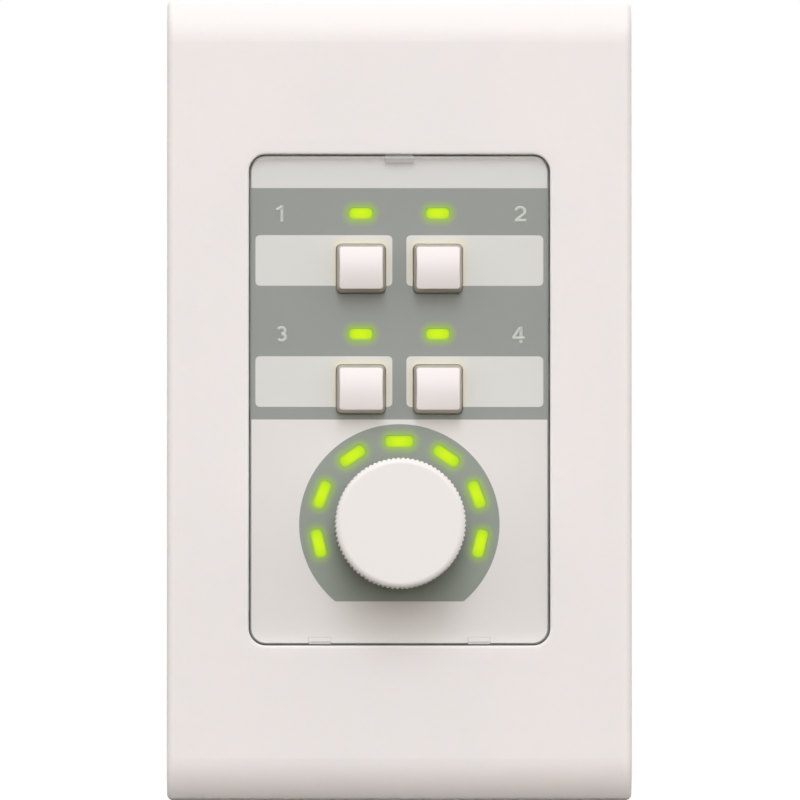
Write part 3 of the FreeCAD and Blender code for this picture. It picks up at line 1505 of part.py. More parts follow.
doc.recompute()
problems = [f"{o.Name} is {o.State}" for o in doc.Objects if {"Invalid", "Error"} & set(o.State)]
for o in doc.Objects:
    if o.TypeId in ("PartDesign::Pocket", "PartDesign::Pad") and o.BaseFeature:
        grown = o.Shape.Volume - o.BaseFeature.Shape.Volume
        if (grown if o.TypeId == "PartDesign::Pad" else -grown) < 1e-6:
            problems.append(f"{o.Name} changes nothing")
for piece in pieces:
    if piece.Shape.isNull() or not piece.Shape.isValid() or not piece.Shape.Solids:
        problems.append(f"{piece.Label} has no valid shape")
if problems:
    raise SystemExit("\n".join(problems))

os.makedirs("parts", exist_ok=True)
for piece in pieces:
    piece.Shape.exportStep(f"parts/{piece.Label}.step")
    box = piece.Shape.BoundBox
    print(f"{piece.Label}: {len(piece.Shape.Solids)} solids, {piece.Shape.Volume:.1f} mm3, "
          f"{box.XLength:.1f} x {box.YLength:.1f} x {box.ZLength:.1f} mm")
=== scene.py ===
# %% [markdown]
# # A wall-mounted audio control panel
#
# The real panel is a moulded wall plate round an insert with four keys, a level knob and green
# lamps, on a steel yoke with a case of electronics behind it. Its solids come from CAD, in
# metres, with +Z up and the front facing -Y. This lesson gives each of them the finish of the
# real thing, and adds the small pieces that CAD leaves out: printed digits, screw threads and
# recesses, chip leads and solder.

# %% Load the CAD model
import bmesh
import bpy
import math
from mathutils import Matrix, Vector


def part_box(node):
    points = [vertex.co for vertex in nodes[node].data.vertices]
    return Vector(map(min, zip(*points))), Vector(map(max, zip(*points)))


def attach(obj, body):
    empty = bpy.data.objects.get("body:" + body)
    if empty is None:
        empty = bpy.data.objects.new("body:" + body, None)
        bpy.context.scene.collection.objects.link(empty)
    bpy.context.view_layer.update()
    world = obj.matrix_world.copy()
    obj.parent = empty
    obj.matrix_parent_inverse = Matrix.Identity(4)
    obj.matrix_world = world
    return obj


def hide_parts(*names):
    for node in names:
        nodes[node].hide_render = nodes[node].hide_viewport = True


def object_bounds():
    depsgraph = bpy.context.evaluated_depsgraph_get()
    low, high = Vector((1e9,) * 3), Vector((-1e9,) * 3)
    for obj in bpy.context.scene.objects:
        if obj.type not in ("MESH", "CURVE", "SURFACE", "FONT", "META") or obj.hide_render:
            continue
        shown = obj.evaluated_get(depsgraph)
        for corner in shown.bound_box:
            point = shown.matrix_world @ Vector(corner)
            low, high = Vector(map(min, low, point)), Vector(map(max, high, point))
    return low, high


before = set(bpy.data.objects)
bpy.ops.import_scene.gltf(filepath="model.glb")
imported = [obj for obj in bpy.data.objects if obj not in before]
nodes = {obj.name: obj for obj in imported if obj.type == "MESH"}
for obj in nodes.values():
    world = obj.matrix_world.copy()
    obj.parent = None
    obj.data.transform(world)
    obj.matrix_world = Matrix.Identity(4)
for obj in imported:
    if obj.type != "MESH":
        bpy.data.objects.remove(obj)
cad_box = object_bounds()
MM = 0.001
print("CAD box in mm:", [[round(v / MM, 2) for v in corner] for corner in cad_box])

# %% [markdown]
# ## Colours and nodes
#
# Colours are written as sRGB hex values, as they look on a screen, but a shader works with
# linear light. One function turns one into the other. A second one adds a node, sets it up and
# links it, so that a whole material reads like a list of its layers.

# %% Helpers for materials
def colour(code):
    """The linear colour of an sRGB hex value."""
    parts = [int(code[i:i + 2], 16) / 255 for i in (1, 3, 5)]
    linear = [p / 12.92 if p <= 0.04045 else ((p + 0.055) / 1.055) ** 2.4 for p in parts]
    return (*linear, 1.0)


def add_node(tree, kind, inputs=(), **settings):
    """Adds a node. Each input is a value, a socket, or a node whose first output is meant."""
    made = tree.nodes.new(kind)
    for name, value in settings.items():
        setattr(made, name, value)
    for name, value in dict(inputs).items():
        named = [s for s in made.inputs if s.enabled and s.name == name]
        socket = made.inputs[name] if isinstance(name, int) else named[0]
        if isinstance(value, bpy.types.Node):
            value = [s for s in value.outputs if s.enabled][0]
        if isinstance(value, bpy.types.NodeSocket):
            tree.links.new(value, socket)
        else:
            socket.default_value = value
    return made


def start_material(name, **plain):
    """A new material with its tree and its Principled shader, whose plain values are set."""
    material = bpy.data.materials.new(name)
    material.use_nodes = True
    shader = material.node_tree.nodes["Principled BSDF"]
    for socket, value in plain.items():
        shader.inputs[socket.replace("_", " ")].default_value = value
    return material, material.node_tree, shader


def dress(material, *names):
    """Puts a material on CAD nodes."""
    for name in names:
        for slot in nodes[name].material_slots:
            slot.material = material
    print(material.name, "on", ", ".join(names))


def four(name):
    """The names of the four nodes that share a name and are numbered."""
    return [f"{name}_{i}" for i in range(1, 5)]


def place_in_mm(tree):
    """Object coordinates in millimetres. They are the same as the CAD model's coordinates."""
    place = add_node(tree, "ShaderNodeTexCoord").outputs["Object"]
    return add_node(tree, "ShaderNodeVectorMath", {0: place, "Scale": 1 / MM}, operation="SCALE")


def feed(tree, shader, **links):
    """Links nodes or sockets to the shader's inputs."""
    for name, value in links.items():
        value = value.outputs[0] if isinstance(value, bpy.types.Node) else value
        tree.links.new(value, shader.inputs[name.replace("_", " ")])


def layered(tree, under, over, mask):
    """One colour laid over another where the mask is 1."""
    mixed = add_node(tree, "ShaderNodeMix", {
        "Factor": mask, "A": under, "B": over,
    }, data_type="RGBA")
    return [s for s in mixed.outputs if s.enabled][0]


def away(tree, value, middle=0.0):
    """How far a value is from a middle, to either side."""
    if middle:
        value = add_node(tree, "ShaderNodeMath", {0: value, 1: middle}, operation="SUBTRACT")
    return add_node(tree, "ShaderNodeMath", {0: value}, operation="ABSOLUTE")


def both(tree, one, other):
    """1 where two masks are both 1."""
    return add_node(tree, "ShaderNodeMath", {0: one, 1: other}, operation="MULTIPLY")


def outward(tree):
    """The parts of the direction that a face looks in: Y is the depth, Z the height."""
    normal = add_node(tree, "ShaderNodeNewGeometry").outputs["Normal"]
    return add_node(tree, "ShaderNodeSeparateXYZ", {0: normal}).outputs


print("sRGB #808080 is", round(colour("#808080")[0], 3), "of full light")

# %% [markdown]
# ## Camera
#
# The panel is seen almost square on, from 1.6 m away with a long lens: the sides of the knob
# and the keys hardly show. A trace of the keys' left and lower sides does, so the camera stands
# a degree and a half below the middle and a little to the left. The lens follows from the width
# of the view, 120.4 mm at the plate's face.

# %% Camera
DISTANCE = 1.6
VIEW_WIDTH = 0.12043
SENSOR = 36
aim = Vector((0.07, -8, -0.05)) * MM
azimuth, elevation = math.radians(-0.85), math.radians(-1.5)
back = Vector((
    math.sin(azimuth) * math.cos(elevation),
    -math.cos(azimuth) * math.cos(elevation),
    math.sin(elevation),
))
camera = bpy.data.objects.new("camera", bpy.data.cameras.new("camera"))
bpy.context.scene.collection.objects.link(camera)
camera.location = aim + back * DISTANCE
camera.rotation_euler = (-back).to_track_quat("-Z", "Y").to_euler()
camera.data.sensor_width = SENSOR
camera.data.lens = SENSOR * DISTANCE / VIEW_WIDTH
camera.data.clip_start = 0.01
bpy.context.scene.camera = camera
bpy.context.scene.view_settings.view_transform = "Standard"
print("lens", round(camera.data.lens, 1), "mm")

# %% [markdown]
# ## Light, floor and background
#
# The panel hangs in soft light from above. About half of it comes from a bright room, which
# the world stands for: white overhead and a little warm towards the walls. A tall, slightly
# cool soft box in front adds most of the rest: it reaches from just above the camera to high
# overhead, so the shadows under the knob and the keys are soft and deep, the plate's upper edge
# is bright and its lower edge dark. A weak, warm card at the camera's height opens the shadows,
# and is kept out of the gloss, or the clear cover would mirror it. A third box lights the back.
# The floor is dark to the light, so that it sends little back up, but pale to the camera and to
# a gloss: near the panel it keeps the shadow, and further away it fades into the white behind,
# so that no edge of it shows.

# %% World and lamps
SKY = 0.86
WARM, COOL = (1.0, 0.93, 0.86), (1.0, 1.05, 1.1)
world = bpy.data.worlds.new("studio")
bpy.context.scene.world = world
world.use_nodes = True


def seen_rays(tree, *kinds):
    """1 for rays from the camera and of these kinds, and 0 for the others."""
    path = add_node(tree, "ShaderNodeLightPath")
    seen = path.outputs["Is Camera Ray"]
    for kind in kinds:
        seen = add_node(tree, "ShaderNodeMath", {0: seen, 1: path.outputs[kind]},
                        operation="MAXIMUM")
    return seen


tree = world.node_tree
tree.nodes.clear()
direction = add_node(tree, "ShaderNodeTexCoord").outputs["Generated"]
low = add_node(tree, "ShaderNodeMapRange", {
    "Value": add_node(tree, "ShaderNodeSeparateXYZ", {0: direction}).outputs["Z"],
    "From Min": 0.1, "From Max": 0.8, "To Min": 1.0, "To Max": 0.0,
})
room = add_node(tree, "ShaderNodeBackground", {
    "Color": layered(tree, (1, 1, 1, 1), (*WARM, 1), low), "Strength": SKY,
})
white = add_node(tree, "ShaderNodeBackground", {"Color": (1, 1, 1, 1), "Strength": 1.0})
sky = add_node(tree, "ShaderNodeMixShader", {
    0: seen_rays(tree, "Is Glossy Ray", "Is Transmission Ray"), 1: room, 2: white,
})
add_node(tree, "ShaderNodeOutputWorld", {"Surface": sky})


def soft_box(name, place, width, height, share, tint):
    """A rectangular lamp that faces the panel. share is its part of the light on the plate,
    where 1 shows a white surface as white, and tint its colour."""
    lamp = bpy.data.objects.new(name, bpy.data.lights.new(name, "AREA"))
    bpy.context.scene.collection.objects.link(lamp)
    lamp.location = place
    lamp.rotation_euler = lamp.location.to_track_quat("Z", "Y").to_euler()
    lamp.data.shape = "RECTANGLE"
    lamp.data.size, lamp.data.size_y = width, height
    slant = abs(lamp.location.y) / lamp.location.length
    lamp.data.energy = share * (math.pi * lamp.location.length) ** 2 / slant
    lamp.data.color = tint
    print(name, round(lamp.data.energy, 2), "W")
    return lamp


soft_box("tall_soft_box", (0.0, -3.54, 1.88), width=1.4, height=3.08, share=0.4, tint=COOL)
card = soft_box("front_card", (0.0, -4.0, 0.3), width=1.4, height=0.8, share=0.13, tint=WARM)
card.visible_glossy = False
soft_box("back_box", (1.6, 3.4, 1.8), width=1.6, height=1.6, share=0.3, tint=(1.0, 1.0, 1.0))

# %% Floor
FLOOR_REACH = 6
FADE_START, FADE_END = 0.12, 0.45
floor_mesh = bpy.data.meshes.new("floor")
floor_mesh.from_pydata(
    [(x * FLOOR_REACH, y * FLOOR_REACH, cad_box[0][2])
     for x, y in ((-1, -1), (1, -1), (1, 1), (-1, 1))],
    [], [(0, 1, 2, 3)],
)
floor = bpy.data.objects.new("floor", floor_mesh)
bpy.context.scene.collection.objects.link(floor)
paper, tree, shader = start_material("matt_paper", Roughness=0.9, Specular_IOR_Level=0.1)
shader.inputs["Base Color"].default_value = colour("#554b40")
pale = add_node(tree, "ShaderNodeBsdfDiffuse", {"Color": colour("#b4b3b1")})
shine = add_node(tree, "ShaderNodeEmission", {"Color": (1, 1, 1, 1), "Strength": 0.6})
lifted = add_node(tree, "ShaderNodeAddShader", {0: pale, 1: shine})
plain = add_node(tree, "ShaderNodeEmission", {"Color": (1, 1, 1, 1), "Strength": 1.0})
from_panel = add_node(tree, "ShaderNodeVectorMath", {
    0: add_node(tree, "ShaderNodeTexCoord").outputs["Object"],
}, operation="LENGTH").outputs["Value"]
far = add_node(tree, "ShaderNodeMapRange", {
    "Value": from_panel, "From Min": FADE_START, "From Max": FADE_END,
}, interpolation_type="SMOOTHSTEP")
faded = add_node(tree, "ShaderNodeMixShader", {0: far, 1: lifted, 2: plain})
surface = add_node(tree, "ShaderNodeMixShader", {
    0: seen_rays(tree, "Is Glossy Ray", "Is Transmission Ray"), 1: shader, 2: faded,
})
tree.links.new(surface.outputs[0], tree.nodes["Material Output"].inputs["Surface"])
floor_mesh.materials.append(paper)
print("floor at", round(cad_box[0][2] / MM, 1), "mm, white from", FADE_END, "m on")

# %% [markdown]
# ## Moulded plastic
#
# Most of the panel is injection-moulded ABS. Its skin copies the mould, which was spark-eroded
# to a fine grain, so the plastic is satin, not glossy: the grain scatters the highlight. A
# bump from noise at the grain's real size does that, the same noise varies the roughness, and
# a much larger, very faint noise keeps a big face from being one flat colour. All the moulded
# pieces share this recipe with their own colour, grain and gloss.

# %% Recipe for moulded plastic
CLOUD = 22
SKIN = 1.5


def moulded(name, base, shade, grain, relief, rough, ior=1.52, soft=0.0):
    """Moulded plastic. base and shade are its colour and the faint cloud in it, grain the
    grain's width and relief its depth in mm, rough the least and most roughness, and soft the
    part of the light that scatters in the plastic, up to SKIN mm deep."""
    material, tree, shader = start_material(
        name, IOR=ior, Subsurface_Weight=soft, Subsurface_Scale=SKIN * MM,
        Subsurface_Radius=(1.0, 0.9, 0.8),
    )
    place = place_in_mm(tree)
    cloud = add_node(tree, "ShaderNodeTexNoise", {
        "Vector": place, "Scale": 1 / CLOUD, "Detail": 2.0, "Roughness": 0.5,
    })
    tone = layered(tree, colour(base), colour(shade), cloud)
    spark = add_node(tree, "ShaderNodeTexNoise", {
        "Vector": place, "Scale": 1 / grain, "Detail": 3.0, "Roughness": 0.6,
    })
    gloss = add_node(tree, "ShaderNodeMapRange", {
        "Value": spark, "From Min": 0.3, "From Max": 0.7, "To Min": rough[0], "To Max": rough[1],
    })
    bump = add_node(tree, "ShaderNodeBump", {
        "Height": spark, "Strength": 1.0, "Distance": relief * MM,
    })
    feed(tree, shader, Base_Color=tone, Roughness=gloss, Normal=bump)
    return material


# %% The moulded pieces
# Warm white ABS with a fine spark grain: a soft, even plate.
plate_abs = moulded("warm_white_abs", "#ece8e7", "#eae6e5", 0.28, 0.006, (0.42, 0.56), soft=0.8)
dress(plate_abs, "wall_plate")
# The knob and the keys are the same ABS from polished moulds, a little smoother.
knob_abs = moulded("white_abs_knob", "#ebe7e5", "#e8e3e1", 0.2, 0.003, (0.38, 0.48))
dress(knob_abs, "knob")
key_abs = moulded("white_abs_key", "#e8e2e1", "#e5dedd", 0.2, 0.002, (0.36, 0.46))
dress(key_abs, *four("key_cap"))
# A key's sides are painted a browner grey than its face: painted shade that gives each face a dark
# outline.
tree = key_abs.node_tree
shader = tree.nodes["Principled BSDF"]
painted_side_shade = add_node(tree, "ShaderNodeMapRange", {
    "Value": away(tree, outward(tree)["Y"]),
    "From Min": 0.35, "From Max": 0.8, "To Min": 1.0, "To Max": 0.0,
})
face_tone = shader.inputs["Base Color"].links[0].from_socket
feed(tree, shader, Base_Color=layered(tree, face_tone, colour("#b8afa3"), painted_side_shade))
# The inner panel is painted a plain mid grey, painted shade for the thin dark line it shows round
# the printed sheet.
inner_abs_painted_shade = moulded("mid_grey_abs", "#8f918e", "#8a8c88", 0.3, 0.01, (0.5, 0.65))
dress(inner_abs_painted_shade, "front_panel")
# The case is black ABS with a coarser grain that hides scratches.
case_abs = moulded("black_abs_case", "#232426", "#1d1e20", 0.45, 0.03, (0.45, 0.62))
dress(case_abs, "rear_case")

# %% [markdown]
# Connectors, switch bodies and the encoder are glass-filled PBT, which stands the heat of
# soldering. It is harder and a little duller than ABS, and its fibres show as a fine streak.

# %% Small moulded pieces
black_pbt = moulded("black_pbt", "#1b1b1d", "#232325", 0.15, 0.008, (0.38, 0.6), 1.56)
dress(black_pbt, "jack_in_housing", "jack_out_housing", "board_socket", "board_header",
      "encoder_body", *four("switch_base"))
brown_pom = moulded("brown_pom", "#5b4a3c", "#544436", 0.2, 0.003, (0.3, 0.42), 1.48)
dress(brown_pom, *four("switch_plunger"))
red_pbt = moulded("red_pbt", "#b3262a", "#a92125", 0.2, 0.006, (0.35, 0.5), 1.56)
dress(red_pbt, "dip_switch_body")
white_pom = moulded("white_pom", "#efeeea", "#e8e6e0", 0.2, 0.003, (0.3, 0.42), 1.48)
dress(white_pom, *four("dip_slider"))
black_epoxy = moulded("black_moulding_epoxy", "#2a2b2d", "#242527", 0.08, 0.004, (0.6, 0.75), 1.55)
dress(black_epoxy, "controller_chip", "line_drivers")

# %% [markdown]
# ## Places on the front
#
# The print has to meet the keys, the lamps and the knob, so their places are read from the
# model. The keys and the lamps above them stand in four cells, two by two, and the level lamps
# stand on a ring about the knob's axis.

# %% Places in mm
def centre(name):
    """The middle of a node's box."""
    low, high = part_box(name)
    return [round((a + b) / 2 / MM, 3) for a, b in zip(low, high)]


def back_face(name):
    """How far back a node reaches."""
    return round(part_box(name)[1][1] / MM, 3)


def halfway(upper, lower):
    """The height midway between two nodes."""
    return round((centre(upper)[2] + centre(lower)[2]) / 2, 3)


KEY_LEVEL = halfway("key_cap_2", "key_cap_4")
LAMP_LEVEL = halfway("key_light_guide_upper", "key_light_guide_lower")
CELL = (centre("key_cap_2")[0], round(centre("key_cap_2")[2] - KEY_LEVEL, 3))
KNOB_LEVEL = centre("knob")[2]
LAMP_RING, LAMP_STEP = 12.5, math.radians(34.4)
print("keys", CELL, "mm from the middles at 0 and", KEY_LEVEL, "- knob at", KNOB_LEVEL)

# %% [markdown]
# ## Shapes of the print, measured by distance
#
# The sheet behind the clear cover is printed: a grey band with four label windows, and a grey
# disc with a flat round the knob. No image is needed for that. The distance from a point to a
# rectangle with round corners is the length of what is left of it after the rectangle's inner
# half size is taken off, and everywhere that the distance is under the corner radius is
# inside. Folding the coordinates first, with an absolute value, draws all four windows, keys
# or lamps with one formula.

# %% Distance to folded rectangles
def folded(tree, place, middle, half):
    """The place in the nearest of four cells, mirrored about the panel's middle line and
    about the height middle. half is how far the cells' centres are from those lines."""
    parts = add_node(tree, "ShaderNodeSeparateXYZ", {0: place}).outputs
    across, up = away(tree, parts["X"]), away(tree, parts["Z"], middle)
    across = add_node(tree, "ShaderNodeMath", {0: across, 1: half[0]}, operation="SUBTRACT")
    up = add_node(tree, "ShaderNodeMath", {0: up, 1: half[1]}, operation="SUBTRACT")
    return add_node(tree, "ShaderNodeCombineXYZ", {"X": across, "Y": up})


def distance_to(tree, cell, width, height):
    """Distance in mm from a place in a cell to a plain rectangle about the cell's centre."""
    size = add_node(tree, "ShaderNodeVectorMath", {0: cell}, operation="ABSOLUTE")
    left = add_node(tree, "ShaderNodeVectorMath", {
        0: size, 1: (width / 2, height / 2, 0),
    }, operation="SUBTRACT")
    out = add_node(tree, "ShaderNodeVectorMath", {0: left, 1: (0, 0, 0)}, operation="MAXIMUM")
    return add_node(tree, "ShaderNodeVectorMath", {0: out}, operation="LENGTH").outputs["Value"]


def key_lamp_distance(tree, place, line=1.9):
    """Distance from the middle line of the nearest of the four lamps above the keys."""
    return distance_to(tree, folded(tree, place, LAMP_LEVEL, CELL), line, 0)


def about_knob(tree, place):
    """The place measured from the knob's axis."""
    return add_node(tree, "ShaderNodeVectorMath", {
        0: place, 1: (0, 0, -KNOB_LEVEL),
    }, operation="ADD")


def level_lamp_distance(tree, place, line=2.5):
    """Distance from the middle line of the nearest of the seven lamps round the knob. The
    angle round the knob is folded into seven steps."""
    centred = about_knob(tree, place)
    parts = add_node(tree, "ShaderNodeSeparateXYZ", {0: centred})
    angle = add_node(tree, "ShaderNodeMath", {
        0: parts.outputs["X"], 1: parts.outputs["Z"],
    }, operation="ARCTAN2")
    steps = add_node(tree, "ShaderNodeMath", {0: angle, 1: LAMP_STEP}, operation="DIVIDE")
    whole = add_node(tree, "ShaderNodeMath", {0: steps}, operation="ROUND")
    low = add_node(tree, "ShaderNodeMath", {0: whole, 1: -3.0}, operation="MAXIMUM")
    nearest = add_node(tree, "ShaderNodeMath", {0: low, 1: 3.0}, operation="MINIMUM")
    turn = add_node(tree, "ShaderNodeMath", {0: nearest, 1: LAMP_STEP}, operation="MULTIPLY")
    turned = add_node(tree, "ShaderNodeVectorRotate", {
        "Vector": centred, "Center": (0, 0, 0), "Angle": turn,
    }, rotation_type="Y_AXIS", invert=True)
    flat = add_node(tree, "ShaderNodeSeparateXYZ", {0: turned})
    up = add_node(tree, "ShaderNodeMath", {
        0: flat.outputs["Z"], 1: LAMP_RING,
    }, operation="SUBTRACT")
    cell = add_node(tree, "ShaderNodeCombineXYZ", {"X": flat.outputs["X"], "Y": up})
    return distance_to(tree, cell, line, 0)


# %% [markdown]
# ## Printed label sheet
#
# The sheet is a 0.15 mm polycarbonate film, printed from behind, so that its colours lie under
# a fine satin skin. The greys are edges of those distances, about 0.1 mm soft, as a screen
# print is. Round each lamp the print is painted green and glows faintly, painted lamp light,
# and round each key the light windows are painted warmer, a painted reflection of the key.

# %% Printed film
film, tree, shader = start_material("printed_polycarbonate_film", IOR=1.58)
place = place_in_mm(tree)
height = add_node(tree, "ShaderNodeSeparateXYZ", {0: place}).outputs["Z"]


def step_at(tree, value, edge, soft=0.05, rising=True):
    """A soft step of a value in mm: 0 below the edge and 1 above it, or the other way round."""
    return add_node(tree, "ShaderNodeMapRange", {
        "Value": value, "From Min": edge - soft, "From Max": edge + soft,
        "To Min": 0.0 if rising else 1.0, "To Max": 1.0 if rising else 0.0,
    }, interpolation_type="SMOOTHSTEP")


# Sizes of the print in mm. A window's size is that of its rectangle without the round corners.
BAND_FOOT, BAND_TOP = -2.95, 31.96
WINDOW_LEVEL, WINDOW_CELL, WINDOW_SIZE, WINDOW_CORNER = 11.9, (11.38, 9.13), (19.24, 6.23), 0.7
DISC_RADIUS, DISC_FOOT = 15.1, -30.35
SHEET_WHITE, STRIP_WHITE = colour("#e5e1e2"), colour("#dddcdd")

above = step_at(tree, height, BAND_TOP)
band = both(tree, step_at(tree, height, BAND_FOOT), step_at(tree, height, BAND_TOP, rising=False))
window = distance_to(tree, folded(tree, place, WINDOW_LEVEL, WINDOW_CELL), *WINDOW_SIZE)
window = step_at(tree, window, WINDOW_CORNER, rising=False)
flattened = add_node(tree, "ShaderNodeVectorMath", {
    0: about_knob(tree, place), 1: (1, 0, 1),
}, operation="MULTIPLY")
radius = add_node(tree, "ShaderNodeVectorMath", {0: flattened}, operation="LENGTH")
round_edge = step_at(tree, radius.outputs["Value"], DISC_RADIUS, rising=False)
disc = both(tree, round_edge, step_at(tree, height, DISC_FOOT))

tone = layered(tree, SHEET_WHITE, STRIP_WHITE, above)
tone = layered(tree, tone, colour("#919492"), band)
tone = layered(tree, tone, colour("#dddcdc"), window)
tone = layered(tree, tone, colour("#8b938b"), disc)
KEY_SIZE = (6.0, 6.0)
# Round each key the light windows are painted warmer: a painted reflection of the key.
near_key = distance_to(tree, folded(tree, place, KEY_LEVEL, CELL), *KEY_SIZE)
painted_key_reflection = both(tree, step_at(tree, near_key, 1.4, 0.6, rising=False), window)
tone = layered(tree, tone, colour("#e2dccd"), painted_key_reflection)

# Round each lamp the print is painted green and made to glow faintly: painted light of the lamps.
lamp = add_node(tree, "ShaderNodeMath", {
    0: key_lamp_distance(tree, place), 1: level_lamp_distance(tree, place),
}, operation="MINIMUM")
painted_lamp_spill = add_node(tree, "ShaderNodeMapRange", {
    "Value": lamp, "From Min": 1.0, "From Max": 2.2, "To Min": 0.95, "To Max": 0.0,
}, interpolation_type="SMOOTHSTEP")
tone = layered(tree, tone, colour("#90a85a"), painted_lamp_spill)
painted_glow_reach = add_node(tree, "ShaderNodeMapRange", {
    "Value": lamp, "From Min": 0.95, "From Max": 2.7, "To Min": 1.0, "To Max": 0.0,
})
painted_glow = add_node(tree, "ShaderNodeMath", {0: painted_glow_reach, 1: 4.0}, operation="POWER")
strength = add_node(tree, "ShaderNodeMath", {0: painted_glow, 1: 0.15}, operation="MULTIPLY")
shader.inputs["Emission Color"].default_value = colour("#8ce03c")

skin = add_node(tree, "ShaderNodeTexNoise", {
    "Vector": place, "Scale": 1 / 0.18, "Detail": 2.0, "Roughness": 0.6,
})
satin = add_node(tree, "ShaderNodeMapRange", {"Value": skin, "To Min": 0.45, "To Max": 0.6})
feed(tree, shader, Base_Color=tone, Emission_Strength=strength, Roughness=satin)
dress(film, "label_sheet")

# %% [markdown]
# ## Lit light guides
#
# Behind each lamp window a clear acrylic guide carries a green chip lamp's light to the front.
# Its end is brightest, and most yellow to the eye, along its middle line, and greener towards
# its rim. The bars behind the panel are only faintly lit. The shader has an emission whose
# colour follows the distance from the middle line, and its strength the depth. At the end its
# own colour is dark, because clear acrylic reflects little, and a pale one would wash the green
# out.

# %% Light guides and their lamps
GUIDE_FRONT, GUIDE_BACK = -6.2, -3.5


def lit_acrylic(name, distance_function):
    """Acrylic that glows at its end, as a function of the distance from the lamps."""
    material, tree, shader = start_material(name, IOR=1.49, Roughness=0.5, Specular_IOR_Level=0.1)
    place = place_in_mm(tree)
    distance = distance_function(tree, place)
    depth = add_node(tree, "ShaderNodeSeparateXYZ", {0: place}).outputs["Y"]
    end = step_at(tree, depth, -5.6, 0.3, rising=False)
    own = layered(tree, colour("#7fa05a"), colour("#141a02"), end)
    heart = distance_function(tree, place, 0.5)
    core = layered(tree, colour("#dafe00"), colour("#c6f208"), step_at(tree, heart, 0.9, 0.7))
    rim = step_at(tree, distance, 0.76, 0.34)
    tone = layered(tree, core, colour("#a4cc48"), rim)
    lit = add_node(tree, "ShaderNodeMapRange", {
        "Value": depth, "From Min": GUIDE_FRONT, "From Max": GUIDE_BACK,
        "To Min": 0.93, "To Max": 0.12,
    })
    feed(tree, shader, Base_Color=own, Emission_Color=tone, Emission_Strength=lit)
    return material


dress(lit_acrylic("lit_acrylic_bar", key_lamp_distance),
      "key_light_guide_upper", "key_light_guide_lower")
dress(lit_acrylic("lit_acrylic_ring", level_lamp_distance), "level_light_guide")

# %% [markdown]
# ## Clear cover
#
# The cover is clear acrylic, 1.2 mm thick, and what the eye gets from it is only a soft
# reflection over the print, stronger at a flat angle. Bent rays through it would turn the
# shadows on the print into noise, so it is a mix of a transparent and a glossy shader, by
# Schlick's formula for how much acrylic reflects. Its narrow sides are matt from the mould and
# reflect nothing, but the upper one scatters the light from overhead, which keeps the gap above
# it from being a black line. Over its two hooks, and more thinly over its pry tab, it is printed
# in the sheet's colours, which hides them.

# %% Clear acrylic
acrylic = bpy.data.materials.new("clear_acrylic")
acrylic.use_nodes = True
tree = acrylic.node_tree
tree.nodes.clear()
place = place_in_mm(tree)
facing = add_node(tree, "ShaderNodeLayerWeight", {"Blend": 0.5}).outputs["Facing"]
steep = add_node(tree, "ShaderNodeMath", {0: facing, 1: 5.0}, operation="POWER")
share = add_node(tree, "ShaderNodeMapRange", {"Value": steep, "To Min": 0.008, "To Max": 0.9})
normal = outward(tree)
share = both(tree, share, step_at(tree, away(tree, normal["Y"]), 0.8, 0.1))
clear = add_node(tree, "ShaderNodeBsdfTransparent", {"Color": colour("#fdfdfc")})
ripple = add_node(tree, "ShaderNodeTexNoise", {"Vector": place, "Scale": 1 / 9, "Detail": 1.0})
wave = add_node(tree, "ShaderNodeBump", {"Height": ripple, "Distance": 0.01 * MM})
mirror = add_node(tree, "ShaderNodeBsdfAnisotropic", {"Roughness": 0.08, "Normal": wave})
surface = add_node(tree, "ShaderNodeMixShader", {0: share, 1: clear, 2: mirror})

HOOK_PLACE, HOOK_HALF_WIDTH, TAB_HALF_WIDTH, PRINT_EDGE, TAB_INK = 12, 1.65, 2.15, 35.75, 0.55
parts = add_node(tree, "ShaderNodeSeparateXYZ", {0: place}).outputs
side = away(tree, parts["X"])
hooks = both(tree, step_at(tree, away(tree, side, HOOK_PLACE), HOOK_HALF_WIDTH, rising=False),
             step_at(tree, parts["Z"], -PRINT_EDGE, rising=False))
tab = both(tree, step_at(tree, side, TAB_HALF_WIDTH, 0.1, rising=False),
           step_at(tree, parts["Z"], PRINT_EDGE, 0.2))
thin = add_node(tree, "ShaderNodeMath", {0: tab, 1: TAB_INK}, operation="MULTIPLY")
hidden = add_node(tree, "ShaderNodeMath", {0: hooks, 1: thin}, operation="MAXIMUM")
printed = add_node(tree, "ShaderNodeBsdfDiffuse", {
    "Color": layered(tree, SHEET_WHITE, STRIP_WHITE, tab),
})
frost = add_node(tree, "ShaderNodeMapRange", {
    "Value": normal["Z"], "From Min": 0.3, "From Max": 0.6, "To Max": 0.45,
})
white = add_node(tree, "ShaderNodeBsdfDiffuse", {"Color": colour("#e6e6e4")})
surface = add_node(tree, "ShaderNodeMixShader", {0: frost, 1: surface, 2: white})
surface = add_node(tree, "ShaderNodeMixShader", {0: hidden, 1: surface, 2: printed})
add_node(tree, "ShaderNodeOutputMaterial", {"Surface": surface})
dress(acrylic, "clear_cover")

# %% [markdown]
# ## Metals
#
# The yoke is pressed from steel sheet and zinc-plated, then passivated: a cool grey that is
# cloudy, not mirror-bright, with faint rolling lines along its length. The encoder's neck,
# nut and the spacers are nickel-plated brass, brighter and warmer. Contacts are gold-flashed.
# A metal's colour is its reflection, so the recipe only varies tone and roughness a little.

# %% Recipe for metals
LINE_WIDTH, LINE_LENGTH = 0.25, 14


